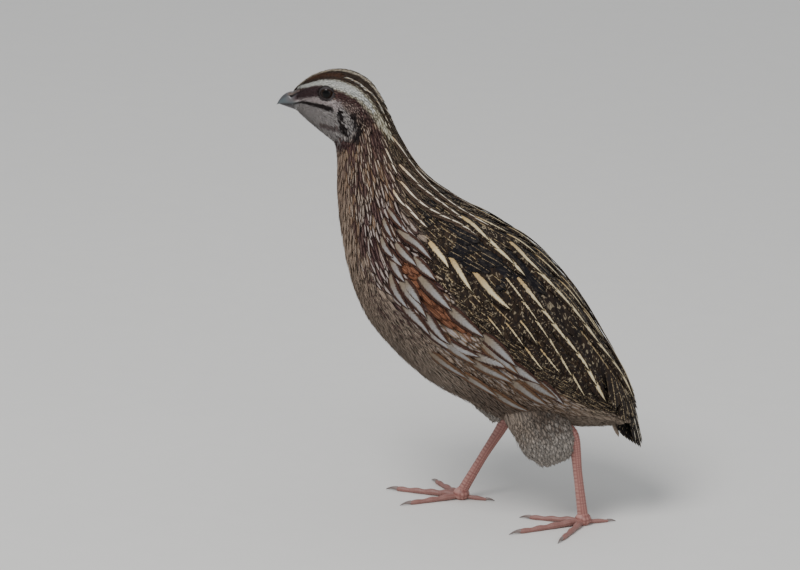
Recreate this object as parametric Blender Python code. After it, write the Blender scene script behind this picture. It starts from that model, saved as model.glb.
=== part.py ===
"""A common quail, life size, walking on level ground with its neck stretched up.

The bird faces +X, its left side is +Y, and its soles rest on the plane Z = 0.
Sizes are in millimetres, and become metres where a mesh is made.
"""

import math
import random

import bmesh
import bpy
import numpy as np
from mathutils import Vector

MM = 0.001
GAP = 0.3  # air between two nodes that meet
FACET_ROOM = 0.15  # extra air where flat facets cut across a curve
SHIFT = Vector((-1.3, -2.6, 0.0))  # sets the origin under the middle of the bird's box

# The feathered body is one tube from the tail to the bill. Each station is a flat section:
# back x, back z, belly x, belly z, half width, and how far above the middle it is widest.
STATIONS = [
    (-59.5, 40.4, -55.0, 33.2, 8.5, 0.00),  # 0 end of the tail coverts
    (-55.5, 50.6, -44.0, 32.2, 14.0, 0.00),  # 1 tail root
    (-48.5, 62.6, -32.0, 32.1, 20.0, 0.00),  # 2 rump
    (-40.0, 76.1, -18.0, 32.8, 25.5, 0.00),  # 3 loin
    (-31.0, 87.0, -4.0, 39.1, 28.5, 0.00),  # 4 hips
    (-20.7, 96.3, 10.0, 46.3, 29.5, 0.00),  # 5 middle of the back
    (-8.5, 103.2, 22.5, 56.9, 28.5, 0.00),  # 6 shoulders
    (2.5, 109.3, 32.0, 68.5, 25.0, -0.05),  # 7 breast
    (11.3, 115.6, 38.0, 83.1, 20.0, -0.05),  # 8 root of the neck
    (17.0, 122.3, 41.0, 97.3, 15.5, 0.00),  # 9 low neck
    (21.2, 129.9, 42.3, 110.1, 12.3, 0.00),  # 10 middle of the neck
    (24.3, 136.8, 42.3, 120.5, 10.8, 0.00),  # 11 high neck
    (27.5, 143.5, 43.0, 127.0, 10.2, 0.05),  # 12 throat
    (31.5, 149.0, 45.8, 129.7, 10.1, 0.10),  # 13 nape
    (37.5, 152.2, 48.3, 131.6, 9.9, 0.12),  # 14 crown
    (44.0, 152.6, 50.6, 133.5, 9.1, 0.12),  # 15 eye
    (50.3, 150.7, 53.0, 135.4, 7.0, 0.05),  # 16 forehead
    (55.0, 147.5, 55.0, 137.2, 4.6, 0.00),  # 17 lore
    (58.0, 144.2, 56.6, 138.4, 2.9, 0.00),  # 18 root of the bill
]
TAIL_ROOT, NECK_ROOT, HEAD_ROOT, BILL_ROOT = 1.1, 8.4, 12.2, 18.0  # stations of the cuts
TORSO_MESH = (19, 42)  # rings along it and sides around it

# Hollow in the body's side that the folded wing lies in
HOLLOW_DEPTH = 4.0
HOLLOW_SHARE = 0.2  # of the body's local radius, where that is less
HOLLOW_STATIONS = (-0.8, 0.8, 7.0, 8.3)
HOLLOW_RIM = (11.0, 3.0)  # degrees outside and inside the wing's edge that the hollow takes to deepen

# The folded wing: a core under tiers of feathers. Each place is a station and an angle from
# the middle of the back, and each height is over the body's outline.
WING_STATIONS = (1.3, 7.4)
CORE_HEIGHT = -0.7
# Tier: how many, root of the first and last, tip of the first and last, width, heights, steps
WING_TIERS = [
    (6, (4.2, 58.0), (4.4, 78.0), (0.35, 62.0), (1.3, 92.0), 7.0, (-1.5, -0.3), 5),  # primaries
    (6, (4.6, 44.0), (4.8, 76.0), (1.1, 50.0), (2.3, 84.0), 8.0, (-1.2, 0.1), 4),  # secondaries
    (3, (5.0, 27.0), (5.0, 44.0), (0.7, 27.0), (1.5, 46.0), 9.5, (-1.0, 0.3), 5),  # tertials
    (6, (5.5, 42.0), (5.5, 72.0), (3.4, 46.0), (3.8, 82.0), 8.0, (-1.0, 0.3), 3),  # greater coverts
    (5, (6.4, 38.0), (6.2, 60.0), (4.8, 44.0), (5.0, 74.0), 7.5, (-0.9, 0.5), 3),  # median coverts
    (4, (6.6, 22.0), (6.4, 38.0), (2.8, 21.0), (3.8, 42.0), 9.0, (-1.0, 0.5), 4),  # scapulars
]
TIER_DROP = 0.12  # from one feather of a tier to the next below it
WING_SEED = 7
VANE_TILT = 0.3  # each feather's lower edge stands out over the next one's upper edge
WING_POINT = 0.55  # where along a feather of the wing its end starts to narrow

EYE = Vector((44.6, 6.2, 146.5))  # middle of the left eyeball
EYE_R = 2.8
LID_SIZE = (2.65, 2.4)  # half length and half height of the ring of the lids
LID_THICK = 0.6
LID_OUT = 1.95  # from the middle of the eyeball out to the lids
# Forms of the head's side: how far it stands out, place ahead of and above the eye, and
# the squares of its reach along and up
HEAD_FORMS = [
    (-0.9, 0.0, 0.0, 18.0, 18.0),  # hollow round the eye
    (0.7, 0.0, 3.9, 40.0, 5.0),  # brow
    (0.8, -6.5, -5.5, 30.0, 24.0),  # cheek
    (-0.4, 6.5, -1.0, 14.0, 8.0),  # lore
]
HEAD_SIDE = (3.0, 7.0)  # distance from the middle at which these forms start and are full

BILL_TIP = (63.4, 140.2)
BILL_STEPS, BILL_ARC = 7, 9  # rings along it and points over each half
BILL_HOOK = 0.4  # how far the upper bill's point reaches past its edge
BILL_UNDERSHOT = Vector((-1.3, 0.0, -0.4))  # from the upper tip to the lower bill's point
BILL_LIP = Vector((0.2, 0.0, 0.3))  # from the lower bill's point to the end of its edge
UPPER_BOW, LOWER_BOW = Vector((0.25, 0.0, 0.95)), Vector((0.25, 0.0, -0.35))  # arch of each ridge
BILL_BLUNT = 0.28  # half width at the tips
NOSTRIL, NOSTRIL_SIZE = (59.4, 2.55, 142.1), (0.95, 0.6, 0.4)
GAPE = (47.5, 138.9)  # corner of the mouth
MOUTH_HEIGHT = 0.4  # share of the bill's depth that is lower bill
MOUTH_STEPS = 5
MOUTH_STATIONS = 3.2  # from the bill back to the corner of the mouth
MOUTH_SAG = 0.5  # how far the mouth's line dips on the way
MOUTH_HALF = (0.3, 0.16)  # half width of the cut for it at the bill and at its corner

TAIL_BASE = Vector((-52.8, 0.0, 45.4))
TAIL_TIP = Vector((-62.0, 0.0, 25.4))
TAIL_PAIRS = 5
TAIL_FAN = (2.0, 6.0)  # degrees: the middle pair, and each pair outside it
TAIL_VANE = 7.5
TAIL_STEP = 0.85  # from one vane down to the next
TAIL_RAKE = 0.9  # how much further back each lower vane is rooted, as a share of its drop
TAIL_SHORTER = 1.0  # how much shorter each pair is than the one inside it
TAIL_SAG = 0.5  # droop of a tail feather's edges
TAIL_POINT = 0.7  # where along a tail feather its end starts to narrow

VANE_THICK = 0.55
VANE_TAPER = 0.4  # share of its thickness that a vane loses towards its tip
RACHIS = 0.25  # the shaft's ridge over its vane

# Left leg stretched back, right leg set forward: hip, heel and hub of the toes
LEGS = {
    "left": {
        "thigh": [(-24.0, 12.0, 46.0), (-29.5, 13.0, 36.0), (-33.0, 13.0, 27.5), (-34.5, 13.0, 22.0)],
        "thigh_size": [(10.5, 8.5), (10.0, 7.6), (8.8, 6.2), (4.8, 3.4)],
        "shank": [(-33.0, 12.6, 37.5), (-38.5, 12.3, 33.5), (-41.2, 12.2, 30.0), (-42.6, 12.0, 18.0)],
        "hub": (-44.5, 12.0, 1.9),
        "heading": 35.0,
    },
    "right": {
        "thigh": [(-4.0, -12.0, 52.0), (-7.0, -12.5, 42.0), (-10.5, -12.5, 33.5), (-12.2, -12.0, 29.0)],
        "thigh_size": [(10.0, 8.5), (9.0, 7.0), (6.0, 4.6), (3.4, 3.0)],
        "shank": [(-9.5, -12.2, 35.0), (-13.0, -11.6, 30.5), (-13.2, -11.2, 27.0), (-6.4, -10.2, 15.5)],
        "hub": (1.0, -9.0, 1.9),
        "heading": -12.0,
    },
}
SHANK_R = (2.3, 2.5, 1.9, 1.45, 1.7)
THIGH_RINGS, SHANK_RINGS = 7, 13
HUB_SIZE = (2.9, 2.9, 2.5)
# Toes: name, angle from the foot's heading outwards, length without the claw, radius at the root
TOES = [("inner", -43.0, 16.0, 1.1), ("middle", 0.0, 21.0, 1.2), ("outer", 42.0, 16.5, 1.1)]
HIND_TOE = ("hind", 172.0, 6.0, 0.85)
PHALANX = 5.5  # from one pad of a toe to the next
CLAW_LENGTH, CLAW_R = 4.2, 0.75


def spline(values, u):
    """The columns of values at station u, on a smooth curve through every row."""
    values = np.asarray(values, float)
    last = len(values) - 1
    i = int(min(max(math.floor(u), 0), last - 1))
    t = u - i
    before, after = max(i - 1, 0), min(i + 2, last)
    p0, p1, p2, p3 = values[before], values[i], values[i + 1], values[after]
    return 0.5 * (
        2 * p1 + (p2 - p0) * t + (2 * p0 - 5 * p1 + 4 * p2 - p3) * t**2 + (3 * p1 - p0 - 3 * p2 + p3) * t**3
    )


def smooth(low, high, x):
    """0 at low, 1 at high, and an even S between."""
    t = min(max((x - low) / (high - low), 0.0), 1.0)
    return t * t * (3 - 2 * t)


def skin_point(u, angle):
    """The body's plain outline at station u, angle degrees from the back round the left side."""
    back_x, back_z, belly_x, belly_z, half, widest = spline(STATIONS, u)
    a = math.radians(angle)
    rise = math.cos(a) + widest * math.sin(a) ** 2
    x = (back_x + belly_x) / 2 + rise * (back_x - belly_x) / 2
    z = (back_z + belly_z) / 2 + rise * (back_z - belly_z) / 2
    return Vector((x, half * math.sin(a), z))


def skin_normal(u, angle):
    """Outward direction of the body's outline."""
    along = skin_point(u + 0.05, angle) - skin_point(u - 0.05, angle)
    around = skin_point(u, angle + 2.0) - skin_point(u, angle - 2.0)
    return along.cross(around).normalized()


def body_point(u, angle, height=0.0):
    """A point at a height over the outline."""
    return skin_point(u, angle) + skin_normal(u, angle) * height


def radius_at(u):
    """Mean of the section's half width and half depth."""
    back_x, back_z, belly_x, belly_z, half, _ = spline(STATIONS, u)
    return (half + math.hypot(back_x - belly_x, back_z - belly_z) / 2) / 2


def wing_edge(u):
    """Angles of the folded wing's upper and lower edge at a station."""
    bend = smooth(6.4, 7.6, u) ** 2
    top = 12.0 + 7.0 * smooth(3.0, 7.2, u) + 14.0 * bend
    low = 96.0 - 9.0 * smooth(0.2, 2.5, u) - 27.0 * smooth(3.8, 7.4, u) - 12.0 * bend
    return top, low


def hollow(u, angle):
    """Depth of the hollow for the folded wing."""
    start, deep, shallow, end = HOLLOW_STATIONS
    outside, inside = HOLLOW_RIM
    top, low = wing_edge(u)
    angle = abs((angle + 180.0) % 360.0 - 180.0)
    along = smooth(start, deep, u) * (1 - smooth(shallow, end, u))
    around = smooth(top - outside, top + inside, angle) * (1 - smooth(low - inside, low + outside, angle))
    return along * around * min(HOLLOW_DEPTH, HOLLOW_SHARE * radius_at(u))


def free_height(u, angle):
    """The least height at which a piece of the wing clears the flat facets of the hollow."""
    du, da = (NECK_ROOT - TAIL_ROOT) / TORSO_MESH[0] / 2, 180.0 / TORSO_MESH[1]
    near = [hollow(u + i * du, angle + j * da) for i in (-1, 0, 1) for j in (-1, 0, 1)]
    return GAP + FACET_ROOM - min(near)


def head_relief(point):
    """How far brow, cheek and eye hollow stand out from the plain head, in mm."""
    stand = 0.0
    for height, ahead, above, along, up in HEAD_FORMS:
        dx, dz = point.x - EYE.x - ahead, point.z - EYE.z - above
        stand += height * math.exp(-(dx**2) / along - dz**2 / up)
    return smooth(*HEAD_SIDE, abs(point.y)) * stand


def add_mesh(name, points, faces):
    """A mesh object in metres, with its faces turned outwards."""
    mesh = bpy.data.meshes.new(name)
    mesh.from_pydata([(Vector(p) + SHIFT) * MM for p in points], [], faces)
    work = bmesh.new()
    work.from_mesh(mesh)
    bmesh.ops.recalc_face_normals(work, faces=work.faces)
    work.to_mesh(mesh)
    work.free()
    obj = bpy.data.objects.new(name, mesh)
    bpy.context.scene.collection.objects.link(obj)
    return obj


def ring_solid(name, rings):
    """A closed tube through rings of points, with a fan over each end."""
    count = len(rings[0])
    points = [p for ring in rings for p in ring]
    faces = []
    for i in range(len(rings) - 1):
        for j in range(count):
            k = (j + 1) % count
            faces.append((i * count + j, i * count + k, (i + 1) * count + k, (i + 1) * count + j))
    for start, ring in ((0, rings[0]), ((len(rings) - 1) * count, rings[-1])):
        middle = sum((Vector(p) for p in ring), Vector()) / count
        points.append(middle)
        for j in range(count):
            faces.append((start + j, start + (j + 1) % count, len(points) - 1))
    return add_mesh(name, points, faces)


def slab_solid(name, outer, inner):
    """A closed sheet between two grids of points, split into triangles alike on both faces."""
    rows, columns = len(outer), len(outer[0])
    points = [p for row in outer for p in row] + [p for row in inner for p in row]
    below = rows * columns
    faces = []
    for i in range(rows - 1):
        for j in range(columns - 1):
            a, b = i * columns + j, i * columns + j + 1
            c, d = a + columns, b + columns
            for start in (0, below):
                faces += [(start + a, start + b, start + d), (start + a, start + d, start + c)]
    rim = list(range(columns))
    rim += [i * columns + columns - 1 for i in range(1, rows)]
    rim += [(rows - 1) * columns + j for j in range(columns - 2, -1, -1)]
    rim += [i * columns for i in range(rows - 2, 0, -1)]
    for n, a in enumerate(rim):
        b = rim[(n + 1) % len(rim)]
        faces.append((a, b, below + b, below + a))
    return add_mesh(name, points, faces)


def path_rings(path, sizes, sides, across):
    """Elliptic rings square to a path. A size is the half width along across, and the other one."""
    rings = []
    across = Vector(across)
    for i, point in enumerate(path):
        ahead = Vector(path[min(i + 1, len(path) - 1)]) - Vector(path[max(i - 1, 0)])
        side = (across - ahead.normalized() * across.dot(ahead.normalized())).normalized()
        up = ahead.cross(side).normalized()
        wide, deep = sizes[i]
        ring = []
        for j in range(sides):
            a = 2 * math.pi * (j + 0.5) / sides
            ring.append(Vector(point) + side * wide * math.cos(a) + up * deep * math.sin(a))
        rings.append(ring)
    return rings


def ball(name, middle, size, segments=16, rings=8):
    """An ellipsoid with half sizes along X, Y and Z."""
    points, faces = [], []
    for i in range(1, rings):
        b = math.pi * i / rings
        for j in range(segments):
            a = 2 * math.pi * j / segments
            spot = Vector((math.sin(b) * math.cos(a), math.sin(b) * math.sin(a), math.cos(b)))
            points.append(Vector(middle) + spot * Vector(size))
    for i in range(rings - 2):
        for j in range(segments):
            k = (j + 1) % segments
            here, below = i * segments, (i + 1) * segments
            faces.append((here + j, here + k, below + k, below + j))
    for start, z in ((0, size[2]), ((rings - 2) * segments, -size[2])):
        points.append(Vector(middle) + Vector((0, 0, z)))
        for j in range(segments):
            faces.append((start + j, start + (j + 1) % segments, len(points) - 1))
    return add_mesh(name, points, faces)


def lid_ring(middle, around=18, sides=6):
    """The lids as one oval ring that lies across the Y axis."""
    points, faces = [], []
    for i in range(around):
        a = 2 * math.pi * i / around
        rim = middle + Vector((LID_SIZE[0] * math.cos(a), 0, LID_SIZE[1] * math.sin(a)))
        out = Vector((math.cos(a), 0, math.sin(a)))
        for j in range(sides):
            b = 2 * math.pi * j / sides
            points.append(rim + LID_THICK * (out * math.cos(b) + Vector((0, math.sin(b), 0))))
            k, n = (j + 1) % sides, (i + 1) % around
            faces.append((i * sides + j, i * sides + k, n * sides + k, n * sides + j))
    return add_mesh("lid", points, faces)


def mirrored(obj, name):
    """A copy on the bird's other side."""
    copy = bpy.data.objects.new(name, obj.data.copy())
    bpy.context.scene.collection.objects.link(copy)
    work = bmesh.new()
    work.from_mesh(copy.data)
    for vertex in work.verts:
        vertex.co.y = 2 * SHIFT.y * MM - vertex.co.y
    bmesh.ops.reverse_faces(work, faces=work.faces)
    work.to_mesh(copy.data)
    work.free()
    return copy


def remove(objects):
    for obj in objects:
        bpy.data.objects.remove(obj)


def largest_shell(mesh):
    """Leaves only the closed surface that holds most."""
    work = bmesh.new()
    work.from_mesh(mesh)
    bmesh.ops.triangulate(work, faces=work.faces)
    left, shells = set(work.faces), []
    while left:
        todo, shell = [left.pop()], []
        while todo:
            face = todo.pop()
            shell.append(face)
            for edge in face.edges:
                for other in edge.link_faces:
                    if other in left:
                        left.remove(other)
                        todo.append(other)
        volume = 0.0
        for face in shell:
            a, b, c = (v.co for v in face.verts)
            volume += a.dot(b.cross(c)) / 6
        shells.append((volume, shell))
    shells.sort(key=lambda s: s[0])
    scraps = [face for _, shell in shells[:-1] for face in shell]
    bmesh.ops.delete(work, geom=scraps, context="FACES")
    loose = [v for v in work.verts if not v.link_faces]
    bmesh.ops.delete(work, geom=loose, context="VERTS")
    work.to_mesh(mesh)
    work.free()


def fuse(name, pieces, cutters=(), solver="EXACT"):
    """Joins closed pieces into one body, cuts it, and removes what it was made from."""
    base = pieces[0]
    groups = [("UNION", pieces[1:]), ("DIFFERENCE", list(cutters))]
    for operation, members in groups:
        if not members:
            continue
        group = bpy.data.collections.new(name + "_" + operation.lower())
        bpy.context.scene.collection.children.link(group)
        for obj in members:
            bpy.context.scene.collection.objects.unlink(obj)
            group.objects.link(obj)
        change = base.modifiers.new(operation.title(), "BOOLEAN")
        change.operation = operation
        change.operand_type = "COLLECTION"
        change.collection = group
        change.solver = solver
        bpy.context.view_layer.update()
        graph = bpy.context.evaluated_depsgraph_get()
        mesh = bpy.data.meshes.new_from_object(base.evaluated_get(graph))
        base.modifiers.clear()
        base.data = mesh
        remove(members)
        bpy.data.collections.remove(group)
        largest_shell(base.data)
    base.name = name
    return base


def paint(obj, colour, roughness):
    """One plain finish, smooth except at sharp edges."""
    material = bpy.data.materials.new(obj.name)
    material.use_nodes = True
    shader = material.node_tree.nodes["Principled BSDF"]
    shader.inputs["Base Color"].default_value = (*colour, 1)
    shader.inputs["Roughness"].default_value = roughness
    shader.inputs["Metallic"].default_value = 0.0
    obj.data.materials.clear()
    obj.data.materials.append(material)
    obj.data.shade_smooth()
    obj.data.set_sharp_from_angle(angle=math.radians(40))


BROWN, BUFF, CREAM = (0.13, 0.085, 0.05), (0.40, 0.30, 0.21), (0.55, 0.49, 0.42)
HORN, PINK, DARK = (0.16, 0.17, 0.18), (0.55, 0.29, 0.25), (0.015, 0.01, 0.008)


def body_section(u, sides, height, with_hollow):
    ring = []
    for j in range(sides):
        angle = 360.0 * j / sides
        deep = hollow(u, angle) if with_hollow else 0.0
        ring.append(body_point(u, angle, height - deep))
    return ring


def body_tube(name, start, end, rings, sides, height=0.0, with_hollow=True):
    """A length of the body between two stations. Each end is one flat section."""
    sections = []
    for i in range(rings + 1):
        u = start + (end - start) * i / rings
        sections.append(body_section(u, sides, height, with_hollow))
    for section in (sections[0], sections[-1]):
        flatten(section)
    return ring_solid(name, sections)


def flatten(section):
    """Moves a ring's points onto the plane through its back and belly that holds the Y axis."""
    back, belly = section[0], section[len(section) // 2]
    middle = (back + belly) / 2
    normal = (back - belly).cross(Vector((0, 1, 0))).normalized()
    for p in section:
        p -= normal * (p - middle).dot(normal)


def station_gap(u, gap):
    """The station that lies a gap further on, measured along the middle of the body."""
    here, there = spline(STATIONS, u), spline(STATIONS, u + 0.01)
    back = math.hypot(there[0] - here[0], there[1] - here[1])
    belly = math.hypot(there[2] - here[2], there[3] - here[3])
    return u + 0.01 * gap / min(back, belly)


def make_torso():
    return body_tube("torso", TAIL_ROOT, NECK_ROOT, *TORSO_MESH)


def make_neck():
    return body_tube("neck", station_gap(NECK_ROOT, GAP), HEAD_ROOT, 10, 32)


def make_head():
    """Skull, cheeks and throat, with sockets, lids and the line of the mouth."""
    start = station_gap(HEAD_ROOT, GAP)
    rings, sides = 15, 32
    sections = []
    for i in range(rings + 1):
        u = start + (BILL_ROOT - start) * i / rings
        section = body_section(u, sides, 0.0, False)
        if 0 < i < rings:
            for j, p in enumerate(section):
                section[j] = p + skin_normal(u, 360.0 * j / sides) * head_relief(p)
        else:
            flatten(section)
        sections.append(section)
    skull = ring_solid("skull", sections)
    lids, sockets, mouths = [], [], []
    for side in (1, -1):
        eye = Vector((EYE.x, EYE.y * side, EYE.z))
        lids.append(lid_ring(eye + Vector((0, LID_OUT * side, 0))))
        sockets.append(ball("socket", eye, (EYE_R + GAP,) * 3, 16, 10))
        mouths.append(mouth_cut(side))
    return fuse("head", [skull, *lids], [*sockets, *mouths])


def mouth_cut(side):
    """A thin wedge that draws the line of the mouth from the bill to its corner."""
    start = mouth_root() + Vector((1.0, 0, 0))
    corner = Vector((GAPE[0], 0, GAPE[1]))
    outer, inner = [], []
    for i in range(MOUTH_STEPS + 1):
        t = i / MOUTH_STEPS
        line = start.lerp(corner, t) - Vector((0, 0, MOUTH_SAG * math.sin(math.pi * t)))
        half = MOUTH_HALF[0] + (MOUTH_HALF[1] - MOUTH_HALF[0]) * t
        reach = spline(STATIONS, BILL_ROOT - MOUTH_STATIONS * t)[4]
        near = line + Vector((0, side * max(reach * 0.72 - 0.4, 1.2), 0))
        far = line + Vector((0, side * (reach + 2.0), 0))
        outer.append([near + Vector((0, 0, half * 0.3)), far + Vector((0, 0, half))])
        inner.append([near - Vector((0, 0, half * 0.3)), far - Vector((0, 0, half))])
    return slab_solid("mouth", outer, inner)


def mouth_root():
    """Where the edge of the upper bill meets the face."""
    back_x, back_z, belly_x, belly_z, _, _ = STATIONS[-1]
    share = MOUTH_HEIGHT
    return Vector((belly_x + (back_x - belly_x) * share, 0, belly_z + (back_z - belly_z) * share))


def make_bill(upper):
    """Half of the bill: flat where the halves close, and arched outside."""
    back_x, back_z, belly_x, belly_z, half, _ = STATIONS[-1]
    back, belly = Vector((back_x, 0, back_z)), Vector((belly_x, 0, belly_z))
    point = Vector((BILL_TIP[0], 0, BILL_TIP[1]))
    ahead = Vector((0, 1, 0)).cross(back - belly).normalized()
    root = mouth_root()
    if upper:
        crest, bow, tip, sign = back, UPPER_BOW, point, 1
        edge_tip = point - Vector((BILL_HOOK, 0, 0))
    else:
        crest, bow, tip, sign = belly, LOWER_BOW, point + BILL_UNDERSHOT, -1
        edge_tip = tip + BILL_LIP
    rings = []
    for i in range(BILL_STEPS + 1):
        t = i / BILL_STEPS
        edge = root.lerp(edge_tip, t)
        ridge = crest.lerp(tip, t) + bow * math.sin(math.pi * t) ** 0.8
        width = (half - 0.15) * (1 - t**1.6) + BILL_BLUNT
        lift = ahead * GAP + Vector((0, 0, sign * GAP / 2))
        ring = []
        for j in range(BILL_ARC):
            a = math.pi * j / (BILL_ARC - 1)
            p = edge + lift + (ridge - edge) * math.sin(a) ** 0.85 * 0.97
            ring.append(p + Vector((0, width * math.cos(a), 0)))
        rings.append(ring)
    name = "bill_upper" if upper else "bill_lower"
    holes = []
    if upper:
        for side in (1, -1):
            x, y, z = NOSTRIL
            holes.append(ball("nostril", (x, y * side, z), NOSTRIL_SIZE, 10, 6))
    return fuse(name, [ring_solid(name + "_shell", rings)], holes)


def make_eye():
    return ball("eye_left", EYE, (EYE_R,) * 3, 16, 10)


def vane_width(t, point):
    """Share of a vane's full width, t from its root to its tip, with a blunt or sharp point."""
    swell = 0.5 + 0.5 * smooth(0.0, 0.4, t)
    end = max(0.0, (t - point) / (1 - point))
    return swell * math.sqrt(max(0.0, 1 - end**2)) if t < 1 else 0.12


def vane(place, steps):
    """A feather between two faces, with a ridge along its shaft.

    place(t, c) gives a spot on the upper face and the way out of it, for t from the
    root to the tip and c from -1 to 1 across.
    """
    outer, inner = [], []
    for i in range(steps + 1):
        t = i / steps
        row_out, row_in = [], []
        for c in (-1, 0, 1):
            spot, out = place(t, c)
            crown = RACHIS if c == 0 and t < 1 else 0.0
            row_out.append(spot + out * crown)
            row_in.append(spot - out * VANE_THICK * (1 - VANE_TAPER * t))
        outer.append(row_out)
        inner.append(row_in)
    return slab_solid("vane", outer, inner)


def tail_frame():
    """Directions down the tail and out of its upper face."""
    along = (TAIL_TIP - TAIL_BASE).normalized()
    return along, along.cross(Vector((0, -1, 0))).normalized()


def make_tail():
    """Fleshy root with its coverts, and five pairs of quills in a low stack."""
    end = station_gap(TAIL_ROOT, -GAP)
    core = []
    for i in range(6):
        t = i / 5
        section = body_section(end + (0.25 - end) * t, 24, -0.1 - 1.9 * t, True)
        middle = sum(section, Vector()) / len(section)
        core.append([p.lerp(middle, 0.25 * t) for p in section])
    flatten(core[0])
    along, up = tail_frame()
    vanes = []
    for pair in range(TAIL_PAIRS):
        for side in (1, -1):
            turn = math.radians(TAIL_FAN[0] + TAIL_FAN[1] * pair) * side
            drop = TAIL_STEP * (pair + (0.5 if side < 0 else 0.0)) + 1.0
            root = TAIL_BASE + along * TAIL_RAKE * drop - up * drop
            ahead = along * math.cos(turn) + Vector((0, math.sin(turn), 0))
            length = (TAIL_TIP - TAIL_BASE).length - TAIL_RAKE * drop - TAIL_SHORTER * pair
            vanes.append(vane(quill_place(root, ahead, up, length), 5))
    return fuse("tail", [ring_solid("rump", core), *vanes], solver="MANIFOLD")


def quill_place(root, ahead, up, length):
    """Where a tail feather runs."""
    across = up.cross(ahead).normalized()

    def place(t, c):
        width = TAIL_VANE / 2 * vane_width(t, TAIL_POINT)
        return root + ahead * length * t + across * width * c - up * TAIL_SAG * c * c, up

    return place


def wing_core():
    """The arm and the roots of its feathers, under the tiers."""
    outer, inner = [], []
    rows, columns = 12, 7
    start, end = WING_STATIONS
    for i in range(rows + 1):
        u = start + (end - start) * i / rows
        top, low = wing_edge(u)
        row_out, row_in = [], []
        for j in range(columns + 1):
            angle = top + (low - top) * j / columns
            floor = free_height(u, angle)
            row_in.append(body_point(u, angle, floor))
            row_out.append(body_point(u, angle, max(CORE_HEIGHT, floor + VANE_THICK)))
        outer.append(row_out)
        inner.append(row_in)
    return slab_solid("wing_core", outer, inner)


def wing_place(root, tip, width, heights, drop):
    """Where a feather of the wing runs, kept clear of the body."""

    def place(t, c):
        u = root[0] + (tip[0] - root[0]) * t
        half = math.degrees(width / 2 * vane_width(t, WING_POINT) / radius_at(u))
        angle = root[1] + (tip[1] - root[1]) * t + c * half
        height = heights[0] + (heights[1] - heights[0]) * t - drop + VANE_TILT * c
        height = max(height, free_height(u, angle) + VANE_THICK)
        return body_point(u, angle, height), skin_normal(u, angle)

    return place


def make_wing():
    """The left wing, folded: six tiers of feathers over a core."""
    draw = random.Random(WING_SEED)
    vanes = []
    for count, root_a, root_b, tip_a, tip_b, width, heights, steps in WING_TIERS:
        for i in range(count):
            t = i / (count - 1)
            root = [a + (b - a) * t for a, b in zip(root_a, root_b)]
            tip = [a + (b - a) * t for a, b in zip(tip_a, tip_b)]
            tip[0] += draw.uniform(-0.08, 0.08)
            tip[1] += draw.uniform(-1.0, 1.0)
            vanes.append(vane(wing_place(root, tip, width, heights, TIER_DROP * i), steps))
    return fuse("wing_left", [wing_core(), *vanes], solver="MANIFOLD")


def make_leg(side):
    """Feathered thigh, bare shank, and toes with claws, for one side."""
    leg = LEGS[side]
    torso_cut = body_tube("torso_cut", TAIL_ROOT, NECK_ROOT, *TORSO_MESH, GAP)
    path = smooth_path(leg["thigh"], THIGH_RINGS)
    sizes = smooth_sizes(leg["thigh_size"], THIGH_RINGS)
    core = ring_solid("thigh_core", path_rings(path, sizes, 18, (1, 0, 0)))
    thigh = fuse("thigh_" + side, [core], [torso_cut])

    grown = [(a + GAP, b + GAP) for a, b in sizes]
    ahead = (Vector(path[-1]) - Vector(path[-2])).normalized()
    path[-1] = Vector(path[-1]) + ahead * GAP
    thigh_cut = ring_solid("thigh_cut", path_rings(path, grown, 18, (1, 0, 0)))
    torso_cut = body_tube("torso_cut", TAIL_ROOT, NECK_ROOT, *TORSO_MESH, GAP)

    hub = Vector(leg["hub"])
    top = Vector((hub.x, hub.y, hub.z + 0.5))
    stem_path = smooth_path([*leg["shank"], top], SHANK_RINGS)
    stem_sizes = smooth_sizes([(r * 1.08, r * 0.92) for r in SHANK_R], SHANK_RINGS)
    stem = ring_solid("stem", path_rings(stem_path, stem_sizes, 10, (1, 0, 0)))
    knuckle = ball("knuckle", hub, HUB_SIZE, 14, 8)
    clamp_floor(knuckle)
    shank = fuse("shank_" + side, [stem, knuckle], [thigh_cut, torso_cut])
    toes = make_toes(side, hub, leg["heading"])
    return [thigh, shank, *toes]


def smooth_path(points, count):
    """Points spread along a smooth curve through the given ones."""
    last = len(points) - 1
    return [Vector(spline([tuple(p) for p in points], last * i / (count - 1))) for i in range(count)]


def smooth_sizes(sizes, count):
    last = len(sizes) - 1
    return [tuple(spline(sizes, last * i / (count - 1))) for i in range(count)]


def clamp_floor(obj):
    """Flattens what would reach below the ground into a sole at Z = 0."""
    for vertex in obj.data.vertices:
        vertex.co.z = max(vertex.co.z, 0.0)


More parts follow.
